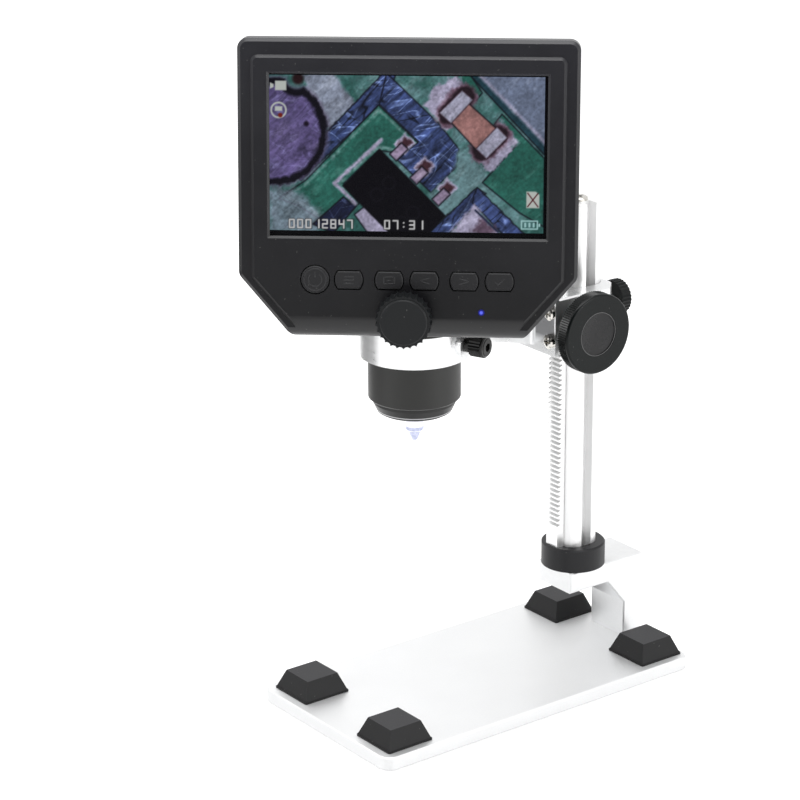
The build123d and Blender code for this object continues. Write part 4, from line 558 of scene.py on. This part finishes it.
def thumb_screw():
    """Black oxide with a bright edge, mixed by the distance along and from the screw's axis."""
    finish = Finish("thumb_screw_steel")
    where = finish.place(MILLIMETRES, (0.0, 0.0, -SCREW_ANGLE), (0, 0, -SCREW_HEIGHT))
    along, across, height = (finish.axis(where, index) for index in (X, Y, Z))
    from_axis = (across * across + height * height).root()
    at_end = ((along - (SCREW_END - SCREW_FACE)) * 6.0).clipped()
    on_edge = ((from_axis - SCREW_RIM) * 4.0).clipped() * at_end
    grain = finish.noise(finish.place(), 1800.0, 2.0)
    wear = finish.noise(finish.place(), 260.0, 3.0)
    bare = (on_edge * 0.42 + (wear - 0.55) * 0.3).clipped()
    tone = finish.mix(bare, (0.012, 0.012, 0.012), (0.42, 0.42, 0.41))
    rough = (grain - 0.5) * 0.2 + 0.36
    return finish.done(Base_Color=tone, Metallic=0.5, Roughness=rough,
                       Normal=finish.bump(grain, 0.004, 0.5))


dress(thumb_screw(), "ring_screw")

# %% [markdown]
# ## Boards, battery, lenses and lamps
#
# Inside the head are boards, a battery and the sensor. Bare board is green lacquer over glass cloth, so a
# fine weave shows through. The lens is clear: most light passes, and what comes back is a sharp reflection.
# The nose is clear resin too, but the lamps above it shine into it, so it is drawn milky and glows a little.

# %% Inner pieces and clear pieces
WEAVE = 9000.0  # the glass cloth's waves, in radians per metre: about 0.7 mm from thread to thread
DOME_TOP = 123.25  # the lamp board's resin domes hang below this height; the heights are in mm
NOSE_BLUE_TOP, NOSE_BAND = 114.2, 112.7  # the nose is milky below the one, painted dazzling white above it for the lamps' glare, with a painted bright band at the other
LAMP_PLACE = (26.1, -54.8, 0.1)  # the blue lamp, in mm from the screen's middle


def board(name, colour):
    """Lacquered circuit board: two crossed waves make the weave of the glass cloth."""
    finish = Finish(name)
    where = finish.place(turn=(0.0, 0.0, -HEAD_YAW))
    warp, weft = (finish.axis(where, index) * WEAVE for index in (X, Z))
    weave = (warp.wave() * weft.wave()) * 0.5 + 0.5
    cloud = finish.noise(where, 120.0, 3.0)
    tone = finish.mix(weave * 0.5 + cloud * 0.5, scaled(colour, 0.7), colour)
    return finish.done(Base_Color=tone, Roughness=cloud * 0.2 + 0.3, Coat_Weight=0.3,
                       Normal=finish.bump(weave, 0.01, 0.4))


def foil(name, colour):
    """A soft cell's crinkled foil bag."""
    finish = Finish(name)
    crinkle = finish.noise(finish.place(), 240.0, 4.0, 0.7)
    tone = finish.mix(crinkle, scaled(colour, 0.8), colour)
    return finish.done(Base_Color=tone, Metallic=0.8, Roughness=crinkle * 0.3 + 0.25,
                       Normal=finish.bump(crinkle, 0.15, 0.6))


def lens_glass():
    """Coated glass, with faint flow marks that stir the reflection."""
    finish = Finish("lens_glass")
    flow = finish.noise(finish.place(), 350.0, 3.0)
    colour = (0.90, 0.95, 0.93)
    tone = finish.mix(flow, scaled(colour, 0.93), colour)
    return finish.done(Base_Color=tone, Roughness=flow * 0.06, Transmission_Weight=0.95, IOR=1.52,
                       Normal=finish.bump(flow, 0.01, 0.3))


def nose_resin():
    """The clear nose: painted dazzling white under the lamps, then milky blue, with one painted bright band
    above its cone.
    """
    finish = Finish("nose_resin")
    height = finish.millimetres(Z)
    dazzle = ((height - NOSE_BLUE_TOP) * 3.0).clipped()
    band = 1.0 - ((abs(height - NOSE_BAND) - 0.12) * 8.0).clipped()
    flow = finish.noise(finish.place(), 900.0, 3.0)
    milky = finish.mix(((flow - 0.35) * 2.5).clipped(), (0.42, 0.46, 0.62), (0.66, 0.68, 0.90))
    tone = finish.mix(dazzle.most(band), milky, (0.95, 0.95, 1.0))
    return finish.done(Base_Color=tone, Roughness=flow * 0.1 + 0.2, IOR=1.49, Emission_Color=tone,
                       Emission_Strength=0.32, Normal=finish.bump(flow, 0.02, 0.4))


def lamp_ring():
    """The white board of the lamps; the resin domes under it shine."""
    finish = Finish("lamp_ring")
    on_dome = ((DOME_TOP - finish.millimetres(Z)) * 20.0).clipped()
    grain = finish.noise(finish.place(), 900.0, 2.0)
    tone = finish.mix(grain, (0.62, 0.62, 0.60), (0.72, 0.72, 0.70))
    light = finish.mix(on_dome, (0.02, 0.02, 0.02), (0.85, 0.88, 1.0))
    return finish.done(Base_Color=tone, Roughness=grain * 0.2 + 0.3, Emission_Color=light,
                       Emission_Strength=1.2)


def small_lamp():
    """A small blue lamp: a painted highlight in its middle, pale in a dark blue rim, by distance from its own
    middle.
    """
    finish = Finish("blue_lamp")
    where = finish.place(shift=tuple(-c for c in on_screen([LAMP_PLACE])[0]))
    distance = finish.node("ShaderNodeVectorMath", {"operation": "LENGTH"}, {0: where}, output=1)
    highlight_spot = 1.0 - ((distance * 1000.0 - 0.35) / 0.45).clipped()
    haze = finish.noise(finish.place(), 900.0, 2.0)
    tone = finish.mix(highlight_spot, (0.012, 0.014, 0.16), (0.10, 0.13, 0.70))
    light = finish.mix(highlight_spot, (0.006, 0.007, 0.10), (0.05, 0.06, 0.45))
    return finish.done(Base_Color=tone, Roughness=haze * 0.1 + 0.12, Emission_Color=light,
                       Emission_Strength=0.8)


def panel_glass():
    """The black mask of the display under its cover film."""
    finish = Finish("display_glass")
    smear = finish.noise(finish.place(), 30.0, 4.0)
    tone = finish.mix(smear, (0.003, 0.003, 0.004), (0.006, 0.006, 0.007))
    return finish.done(Base_Color=tone, Roughness=smear * 0.10 + 0.08,
                       Normal=finish.bump(smear, 0.01, 0.2))


dress(board("green_board", (0.03, 0.16, 0.07)), "main_board", "key_board", "sensor_board")
dress(foil("cell_foil", (0.55, 0.56, 0.58)), "battery")
dress(lens_glass(), "objective_lens")
dress(nose_resin(), "lens_nose")
dress(small_lamp(), "status_led")
dress(lamp_ring(), "led_board")
dress(panel_glass(), "lcd_panel")

# %% [markdown]
# ## What the screen shows
#
# The screen shows a circuit board under high magnification: lacquer, tracks, a round pad, a small chip with
# three legs and a chip resistor. The picture is painted by formula on a fine grid of points. Every shape is
# a signed distance, which is negative inside the shape and grows with the distance outside it, so that soft
# edges, dark outlines and pale rims are all cut from the same number.

# %% Shapes as distances
PICTURE_WIDTH, PICTURE_HEIGHT = 97.0, 54.6
PICTURE_STEP = 0.25
PICTURE_RISE = 0.7  # the picture's middle above the window's middle, over a black strip
PICTURE_SQUEEZE = 0.989  # the lit part stops short of the window's right edge
columns = int(PICTURE_WIDTH / PICTURE_STEP)
rows = int(PICTURE_HEIGHT / PICTURE_STEP)
across = np.linspace(-PICTURE_WIDTH / 2, PICTURE_WIDTH / 2, columns)
upward = np.linspace(-PICTURE_HEIGHT / 2, PICTURE_HEIGHT / 2, rows)
px, py = np.meshgrid(across, upward)

LATTICE = 256  # random values along each side of the lattice, which then repeats
FIELD_SHIFT = 500.0  # keeps every lattice coordinate positive
FINER_SHARE = 0.55  # how strong each finer field is beside the one before it


def cloudy(cell, seed, stretch=1.0, lean=0.0, steps=4):
    """A smooth random field from 0 to 1: random values on a lattice are blended, then finer ones added.

    A stretch above 1 makes the cells longer along a direction that leans by an angle in degrees.
    """
    dice = np.random.default_rng(seed)
    c, s = math.cos(math.radians(lean)), math.sin(math.radians(lean))
    field, weight = np.zeros_like(px), 0.0
    for step in range(steps):
        size = cell * 0.5 ** step
        u = (px * c + py * s) / (size * stretch) + FIELD_SHIFT
        v = (py * c - px * s) / size + FIELD_SHIFT
        iu, iv = u.astype(int), v.astype(int)
        fu, fv = u - iu, v - iv
        fu, fv = fu * fu * (3 - 2 * fu), fv * fv * (3 - 2 * fv)
        lattice = dice.random((LATTICE, LATTICE))
        corner = [[lattice[(iv + j) % LATTICE, (iu + i) % LATTICE] for i in (0, 1)] for j in (0, 1)]
        low = corner[0][0] * (1 - fu) + corner[0][1] * fu
        high = corner[1][0] * (1 - fu) + corner[1][1] * fu
        field += (low * (1 - fv) + high * fv) * FINER_SHARE ** step
        weight += FINER_SHARE ** step
    return field / weight


def disc(cx, cy, radius):
    """Distance from a circle's edge."""
    return np.hypot(px - cx, py - cy) - radius


def stroke(points, width):
    """Distance from a line of a given width through points."""
    best = np.full_like(px, 1e9)
    for (ax, ay), (bx, by) in zip(points[:-1], points[1:]):
        wide, tall = bx - ax, by - ay
        along = np.clip(((px - ax) * wide + (py - ay) * tall) / (wide ** 2 + tall ** 2), 0, 1)
        best = np.minimum(best, np.hypot(px - ax - along * wide, py - ay - along * tall))
    return best - width / 2


def patch(*corners, wobble=0.0):
    """Distance from a polygon's edge, negative inside; a wobble roughens the edge by that many mm."""
    inside = np.zeros(px.shape, bool)
    for (ax, ay), (bx, by) in zip(corners, corners[1:] + corners[:1]):
        crosses = (ay > py) != (by > py)
        step = (bx - ax) * (py - ay) / (by - ay if by != ay else 1e-9) + ax
        inside ^= crosses & (px < step)
    edge = stroke([*corners, corners[0]], 0.0)
    return np.where(inside, -edge, edge) + wobble * (ragged - 0.5) * 2


picture = np.zeros((rows, columns, 3))
brushed = np.zeros((rows, columns))  # how strongly the scratches show at each point
ragged = cloudy(1.6, 21, steps=3)


def paint(distance, colour, soft=0.3, strength=1.0, brush=0.0):
    """Lay a colour wherever the distance is negative, over an edge that is soft mm wide."""
    cover = np.clip(0.5 - distance / (2 * soft), 0, 1) * strength
    picture[:] = picture * (1 - cover[..., None]) + np.asarray(colour, float) * cover[..., None]
    brushed[:] = brushed * (1 - cover) + brush * cover


def outlined(distance, colour, line=0.35, line_colour=(0.03, 0.03, 0.06), brush=0.0):
    """A filled shape with a dark line round it."""
    paint(distance - line, line_colour, 0.25, 0.9)
    paint(distance + line * 0.3, colour, 0.3, brush=brush)


print("picture grid", columns, "x", rows)

# %% Paint the board and its tracks
GREEN, PALE_GREEN, DEEP_GREEN = (0.19, 0.37, 0.35), (0.38, 0.50, 0.52), (0.15, 0.36, 0.32)
BLUE, SILVERY, LILAC = (0.21, 0.26, 0.42), (0.50, 0.53, 0.60), (0.62, 0.60, 0.70)
NAVY, TEAL, PLAIN = (0.10, 0.12, 0.22), (0.11, 0.22, 0.26), (0.40, 0.44, 0.53)
blotches = cloudy(7.0, 3)

paint(np.full_like(px, -1.0), GREEN)
paint((0.50 - blotches) * 9.0, PALE_GREEN, 1.2, 0.8, 0.25)
paint(patch((-37, 28), (-26, 28), (-17.9, 17.7), (-26.8, 8), (-35, 21), wobble=0.8), SILVERY, 0.7, 1.0, 0.15)
outlined(patch((-39.5, -7), (-27.6, 8), (-8.2, 28), (-4, 28), (-6, 20), (-9.9, 16.9), (-37.4, -9.6),
               wobble=0.3), BLUE, brush=1.0)
outlined(patch((-7, 28), (11.3, 10.7), (18.4, 1.9), (17.5, -4.3), (8.7, -13.2), (-3, -2), (4.3, 4.5),
               (-9.5, 17.4)), BLUE, brush=1.0)
inner_green = patch((-9.9, 16.9), (3.8, 4.1), (-3, 0.5), (-9.9, 1.4), (-22.3, -10.5), (-17, -17.6),
                    (-29.4, -23.8), (-38.3, -18.5), (-45, -16.0), (-35.6, -9.6))
outlined(inner_green, DEEP_GREEN)
paint(np.abs(inner_green + 1.0) - 0.35 + (ragged - 0.5) * 1.6, (0.50, 0.62, 0.62), 0.5, 0.7)
paint(patch((-49, -13), (-40, -12), (-27, -24), (-33, -28), (-49, -28), wobble=1.5), SILVERY, 1.5, 0.75, 0.3)
paint(patch((18.4, 2.5), (24, -1), (29, -7), (26, -11.4), (13, -22), (8, -14), (17, -6), wobble=1.2),
      PALE_GREEN, 0.9, 1.0, 0.1)
outlined(patch((33.5, 14.2), (48.5, -1), (48.5, -24.7), (40, -20), (27, -9.6), (38.8, 3.6), (31, 10.7)),
         DEEP_GREEN)
outlined(patch((22, 28), (48.5, 0.5), (48.5, 6), (27, 28)), TEAL)
outlined(patch((17, 28), (22, 28), (26.4, 21.7), (24.2, 19.1)), DEEP_GREEN)
paint(patch((25.5, 28.5), (49, 28.5), (49, 4.0)), PLAIN, 0.4)
paint(stroke([(24.5, 29), (49, 4.2)], 1.3) + (ragged - 0.5) * 0.6, LILAC, 0.5, 0.8)
outlined(patch((25, -11.4), (28, -13.5), (14.9, -28), (8, -28), wobble=0.4), BLUE, brush=1.0)
outlined(patch((25, -11.4), (42, -28), (34.4, -28), (23.5, -16.7), wobble=0.4), BLUE, brush=1.0)
paint(patch((24, -17.6), (33, -28), (15, -28), wobble=1.0), LILAC, 0.8)
paint(patch((27, -21.5), (31.5, -25.5), (30, -28), (23, -27), wobble=1.2), (0.28, 0.20, 0.26), 0.8, 0.8)
paint(stroke([(24.5, -19.5), (32.5, -27)], 0.7), NAVY, 0.3)
outlined(patch((-22.3, -15.4), (-17.9, -18.5), (-26, -28), (-33, -25)), NAVY, brush=0.5)
print("ground laid")

# %% Paint the round pad, the chip, its legs and the resistor
RESIN, FLUX = (0.018, 0.013, 0.030), (0.36, 0.24, 0.30)
pad = disc(-46.9, 7.4, 18.4) + (ragged - 0.5) * 1.4
pad = np.maximum(pad, -disc(-38.8, 26.5, 4.6))
paint(pad - 1.2, (0.40, 0.36, 0.46), 0.8, 0.7)
paint(pad - 0.4, (0.05, 0.04, 0.08), 0.5)
paint(pad + 2.1, (0.34, 0.30, 0.47), 0.6, brush=0.35)
paint(pad + 9.0, (0.37, 0.33, 0.50), 3.0, brush=0.35)
paint(disc(-35.4, 10.3, 0.9), (0.08, 0.05, 0.10), 0.4)
paint(disc(-38.3, 26.0, 2.0), (0.13, 0.03, 0.04), 0.6, 0.9)
outlined(patch((-18.2, -21.5), (-14.4, -18.3), (-5.6, -28), (-13.5, -28)), LILAC)
for leg_x, leg_y in ((-2.6, 1.6), (4.6, -6.6), (12.4, -14.1)):
    up_x, up_y = leg_x + 2.4, leg_y + 2.4
    paint(patch((up_x - 4.4, up_y - 0.5), (up_x - 0.5, up_y + 3.6), (up_x + 3.4, up_y),
                (up_x - 0.4, up_y - 4.0), wobble=0.6), LILAC, 0.4)
    paint(patch((up_x - 3.0, up_y - 0.5), (up_x - 0.3, up_y + 2.2), (up_x + 2.2, up_y),
                (up_x - 0.2, up_y - 2.6), wobble=0.8), (0.25, 0.15, 0.18), 0.5)
    outlined(patch((leg_x - 3.2, leg_y - 1.6), (leg_x + 0.8, leg_y + 2.2), (leg_x + 3.0, leg_y + 0.2),
                   (leg_x - 1.0, leg_y - 3.8)), (0.56, 0.50, 0.60))
paint(stroke([(-9.0, 4.9), (-25.4, -10.5), (-18.0, -17.6)], 1.3) + (ragged - 0.5) * 0.6, LILAC, 0.4)
chip = patch((-9.5, 1.4), (13.6, -21.5), (7.6, -28), (-5.5, -28), (-22.3, -11.4))
paint(chip - 0.35, (0.02, 0.02, 0.04), 0.3)
paint(chip, RESIN, 0.3)
for ghost in ((-6.2, -10.2), (-10.4, -14.4), (2.4, -20.6), (-1.6, -24.2)):
    paint(np.abs(disc(*ghost, 2.2)) - 0.25, (0.060, 0.052, 0.085), 0.4, 0.8)
paint(patch((9.5, 23), (17, 27.5), (25, 20.5), (22, 17), (14, 8), (6, 17), wobble=1.2), LILAC, 0.6)
paint(patch((33.5, 12.5), (39.2, 4.5), (29.5, -6.5), (22, 0.5), (25, 3), wobble=1.2), LILAC, 0.6)
for ends in (((14.6, 14.0), (20.4, 20.4)), ((26.6, 1.4), (32.4, 7.0))):
    paint(stroke(ends, 8.8) + (ragged - 0.5) * 2.4, FLUX, 0.8, 0.8)
    paint(stroke(ends, 6.8) + (ragged - 0.5) * 0.8, (0.14, 0.09, 0.12), 0.5)
outlined(patch((21.3, 18.2), (31.6, 9.2), (24.8, 1.7), (15.0, 12.2)), (0.58, 0.42, 0.41))
for corners in (((11.6, 14.6), (15.6, 11.0), (23.2, 19.2), (19.4, 22.4)),
                ((24.6, 2.2), (28.2, -1.2), (35.4, 6.2), (31.8, 9.8))):
    body = patch(*corners) + 0.9
    outlined(body - 0.9, (0.60, 0.60, 0.68), 0.25, (0.2, 0.12, 0.16), 0.15)
    paint(body + 0.6, (0.68, 0.67, 0.76), 0.7, 0.8, 0.1)
print("parts laid, darkest", round(float(picture.min()), 3), "palest", round(float(picture.max()), 3))

# %% [markdown]
# ## Texture, signs and numbers on the picture
#
# Metal under a microscope is never even. A ridge is where a smooth random field crosses its middle value:
# thin ridges, stretched along one direction, look like scratches, and they are added as strongly as each
# shape was painted to take them. The recorder writes over the picture: a camera, a card, a battery and
# plain numbers, drawn with strokes on a grid of seven segments, which is how simple displays build their
# numbers.

# %% Brush the metal, then write over the picture
pale_marks = np.zeros_like(px)
dark_marks = np.zeros_like(px)
for seed, lean in ((11, 46.0), (12, -40.0), (13, 12.0)):
    ridge = 1.0 - 2.0 * np.abs(cloudy(2.6, seed, 4.5, lean, 2) - 0.5)
    here_and_there = np.clip((cloudy(5.0, seed + 40, steps=2) - 0.50) * 6.0, 0, 1)
    pale_marks += np.clip(ridge - 0.90, 0, 1) * 10.0 * here_and_there
    ridge = 1.0 - 2.0 * np.abs(cloudy(3.2, seed + 9, 5.0, lean, 2) - 0.5)
    here_and_there = np.clip((cloudy(6.0, seed + 70, steps=2) - 0.52) * 6.0, 0, 1)
    dark_marks += np.clip(ridge - 0.92, 0, 1) * 12.0 * here_and_there
pale_marks, dark_marks = np.clip(pale_marks, 0, 1), np.clip(dark_marks, 0, 1)
streaks = cloudy(1.1, 33, 5.0, 44.0, 3) - 0.5
speckled = cloudy(0.8, 31, steps=2) - 0.5
frost = np.clip((cloudy(2.2, 35, 2.5, 40.0, 4) - 0.60) * 5.0, 0, 1) * (1.0 - brushed)
picture *= (1.0 - 0.7 * dark_marks * brushed)[..., None]
picture += (pale_marks * brushed * 0.30)[..., None] * np.array([0.85, 0.95, 1.10])
brightness = picture.mean(2)
picture += (frost * np.clip(brightness * 5.0 - 0.6, 0, 1) * 0.10)[..., None]
picture *= (1.0 + streaks * (0.15 + brushed) + 0.35 * speckled + 0.4 * (blotches - 0.5))[..., None]
picture = np.clip(picture, 0.0, 1.0)

SEGMENTS = {
    "0": "abcdef", "1": "bc", "2": "abged", "3": "abgcd", "4": "fgbc",
    "5": "afgcd", "6": "afgedc", "7": "abc", "8": "abcdefg", "9": "abcdfg",
}
DIGIT_WIDTH, DIGIT_HEIGHT, DIGIT_PITCH = 1.6, 2.8, 2.95
SEGMENT_LINES = {
    "a": ((0, 1), (1, 1)), "b": ((1, 1), (1, 0.5)), "c": ((1, 0.5), (1, 0)), "d": ((0, 0), (1, 0)),
    "e": ((0, 0.5), (0, 0)), "f": ((0, 1), (0, 0.5)), "g": ((0, 0.5), (1, 0.5)),
}
WRITING, SHADE = (0.80, 0.80, 0.80), (0.04, 0.04, 0.05)
SIGN, CHARGE = (0.72, 0.74, 0.72), (0.62, 0.78, 0.78)


def number(text, x, y):
    """Write digits from a point to the right, pale over a dark edge; a colon is two dots."""
    drawn = []
    for place, sign in enumerate(text):
        left = x + place * DIGIT_PITCH
        if sign == ":":
            drawn += [disc(left + DIGIT_WIDTH / 2, y + rise, 0.3) for rise in (0.7, 2.1)]
            continue
        for segment in SEGMENTS[sign]:
            ends = [(left + a * DIGIT_WIDTH, y + b * DIGIT_HEIGHT) for a, b in SEGMENT_LINES[segment]]
            drawn.append(stroke(ends, 0.55))
    whole = np.minimum.reduce(drawn)
    paint(whole - 0.25, SHADE, 0.2, 0.6)
    paint(whole, WRITING, 0.15)


number("00012847", -41.5, -26.3)
number("07:31", -7.6, -26.3)
paint(patch((-46.4, 25.2), (-42.4, 25.2), (-42.4, 21.9), (-46.4, 21.9)), SIGN, 0.2)
paint(patch((-48.2, 24.6), (-46.9, 24.0), (-46.9, 23.0), (-48.2, 22.4)), SIGN, 0.2)
paint(np.abs(disc(-45.2, 15.0, 2.6)) - 0.3, SIGN, 0.2)
paint(patch((-46.5, 16.3), (-43.9, 16.3), (-43.9, 14.7), (-46.5, 14.7)), SIGN, 0.2)
paint(disc(-44.6, 13.2, 0.8), (0.45, 0.12, 0.08), 0.2)
paint(patch((42.4, -12.6), (45.7, -12.6), (47.0, -13.8), (47.0, -18.4), (42.4, -18.4)), SIGN, 0.2)
for low_end, high_end in ((-17.9, -13.2), (-13.2, -17.9)):
    paint(stroke([(42.9, low_end), (46.5, high_end)], 0.4), (0.30, 0.08, 0.10), 0.15)
battery_sign = patch((40.8, -23.0), (46.4, -23.0), (46.4, -25.8), (40.8, -25.8))
paint(np.abs(battery_sign) - 0.25, CHARGE, 0.15)
for bar in (42.1, 43.6, 45.1):
    paint(stroke([(bar, -23.9), (bar, -24.9)], 0.7), CHARGE, 0.15)
paint(stroke([(47.1, -24.1), (47.1, -24.7)], 0.6), CHARGE, 0.15)
print("mean colour", np.round(picture.mean((0, 1)), 3))

# %% [markdown]
# ## A piece from points and faces
#
# Every new piece goes through one function: it makes the mesh from arrays, gives it a finish and lets it ride
# on the body that it belongs to. Its place is in its points.

# %% Making pieces
def piece(name, points, faces, material, body):
    """A mesh object in the frame, in metres, riding on a body."""
    mesh = bpy.data.meshes.new(name)
    mesh.from_pydata(np.asarray(points).tolist(), [], np.asarray(faces).tolist())
    mesh.materials.append(material)
    mesh.shade_smooth()
    made = bpy.data.objects.new(name, mesh)
    bpy.context.scene.collection.objects.link(made)
    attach(made, body)
    return made


def grid_faces(across, along):
    """Four-sided faces of a grid of points, numbered row after row."""
    first = np.arange(along - 1)[:, None] * across + np.arange(across - 1)[None, :]
    return np.stack([first, first + 1, first + across + 1, first + across], -1).reshape(-1, 4)


def display_light():
    """The lit picture under the cover film: its colours come from the points' own attribute."""
    finish = Finish("display_picture")
    source = {"attribute_type": "GEOMETRY", "attribute_name": "picture"}
    colours = finish.node("ShaderNodeAttribute", source)
    dust = finish.noise(finish.place(), 700.0, 1.0)
    return finish.done(Base_Color=(0.004, 0.004, 0.005), Roughness=dust * 0.12 + 0.20, Emission_Color=colours,
                       Emission_Strength=0.85, Specular_IOR_Level=0.12)


PICTURE_DEPTH = 1.62  # just in front of the display's glass, in mm behind the screen's front
shown_x = (px + PICTURE_WIDTH / 2) * PICTURE_SQUEEZE - PICTURE_WIDTH / 2
screen_points = np.stack([shown_x, py + PICTURE_RISE, np.full_like(px, -PICTURE_DEPTH)], -1).reshape(-1, 3)
screen_picture = piece("screen_picture", on_screen(screen_points), grid_faces(columns, rows),
                       display_light(), "head")
linear = np.where(picture <= 0.04045, picture / 12.92, ((picture + 0.055) / 1.055) ** 2.4)
attribute = screen_picture.data.attributes.new("picture", "FLOAT_COLOR", "POINT")
opaque = np.concatenate([linear, np.ones((rows, columns, 1))], -1)
attribute.data.foreach_set("color", opaque.astype(np.float32).ravel())
print("screen_picture", len(screen_picture.data.vertices), "points")

# %% [markdown]
# ## Signs on the keys
#
# The keys carry signs that stand a tenth of a millimetre proud, in a rubber only a little paler than the
# keys, so that they show best where light grazes them. Each sign is a set of lines. A line becomes a rib
# with a rounded top: its cross-section is half an ellipse, carried along the path.

# %% Ribs along paths
RIB_STEPS = 7  # points across a rib


def ribbed(paths, width, rise, base):
    """Points and faces of ribs on the screen's front, of a width and a rise, from a base height, in mm."""
    all_points, all_faces, start = [], [], 0
    turn = np.linspace(0, np.pi, RIB_STEPS)
    for path in paths:
        path = np.asarray(path, float)
        closed = bool(np.allclose(path[0], path[-1]))
        ahead = np.gradient(path, axis=0)
        if closed:
            ahead[0] = ahead[-1] = path[1] - path[-2]
        ahead /= np.linalg.norm(ahead, axis=1, keepdims=True)
        side = np.stack([-ahead[:, 1], ahead[:, 0]], 1)
        offset = side[:, None, :] * (np.cos(turn) * width / 2)[None, :, None]
        flat = path[:, None, :] + offset
        height = np.tile(base + np.sin(turn) * rise, (len(path), 1))
        if not closed:
            height[0] = height[-1] = base
        ring = np.concatenate([flat, height[..., None]], -1)
        all_points.append(ring.reshape(-1, 3))
        all_faces.append(grid_faces(RIB_STEPS, len(path))[:, ::-1] + start)
        start += len(path) * RIB_STEPS
    return on_screen(np.concatenate(all_points)), np.concatenate(all_faces)


def arc(cx, cy, radius, start, end, count=33):
    """Points round a centre between two angles in degrees."""
    a = np.radians(np.linspace(start, end, count))
    return np.stack([cx + radius * np.cos(a), cy + radius * np.sin(a)], 1)


def line(*points, count=6):
    """Points along straight stretches."""
    stretches = [np.linspace(a, b, count)[:-1] for a, b in zip(points[:-1], points[1:])]
    return np.concatenate([*stretches, [points[-1]]])


SIGN_WIDTH, SIGN_RISE, SIGN_BASE = 0.42, 0.12, 0.24  # a rib's width and height, and where it starts, in mm
KEY_ROW = -43.8  # the keys' middles, in mm up from the screen's middle
KEY_PLACES = {"power": -32.5, "menu": -20.6, "mode": -6.4, "left": 6.0, "right": 20.0, "ok": 32.4}
KEY_SIGNS = {
    "power": [arc(0, 0, 2.4, 125, 415), line((0, 0.8), (0, 3.0)), arc(0, 0, 3.9, 0, 360, 49)],
    "menu": [line((-1.9, y), (1.9, y)) for y in (1.2, 0, -1.2)],
    "mode": [line((-1.9, -1.2), (-1.9, 1.2), (1.9, 1.2), (1.9, -1.2), (-1.9, -1.2)),
             line((-0.6, 0), (0.6, 0))],
    "left": [line((1.9, 1.1), (-1.7, 0), (1.9, -1.1))],
    "right": [line((-1.9, 1.1), (1.7, 0), (-1.9, -1.1))],
    "ok": [line((-1.6, 0.2), (-0.5, -1.1), (1.8, 1.3))],
}
sign_ink = moulded_plastic("sign_rubber", (0.020, 0.020, 0.022), 0.34, 0.2, 0.01)
for key, key_x in KEY_PLACES.items():
    paths = [path + np.array([key_x, KEY_ROW]) for path in KEY_SIGNS[key]]
    points, faces = ribbed(paths, SIGN_WIDTH, SIGN_RISE, SIGN_BASE)
    piece(f"{key}_sign", points, faces, sign_ink, f"{key}_key")
print("signs on", ", ".join(KEY_PLACES))
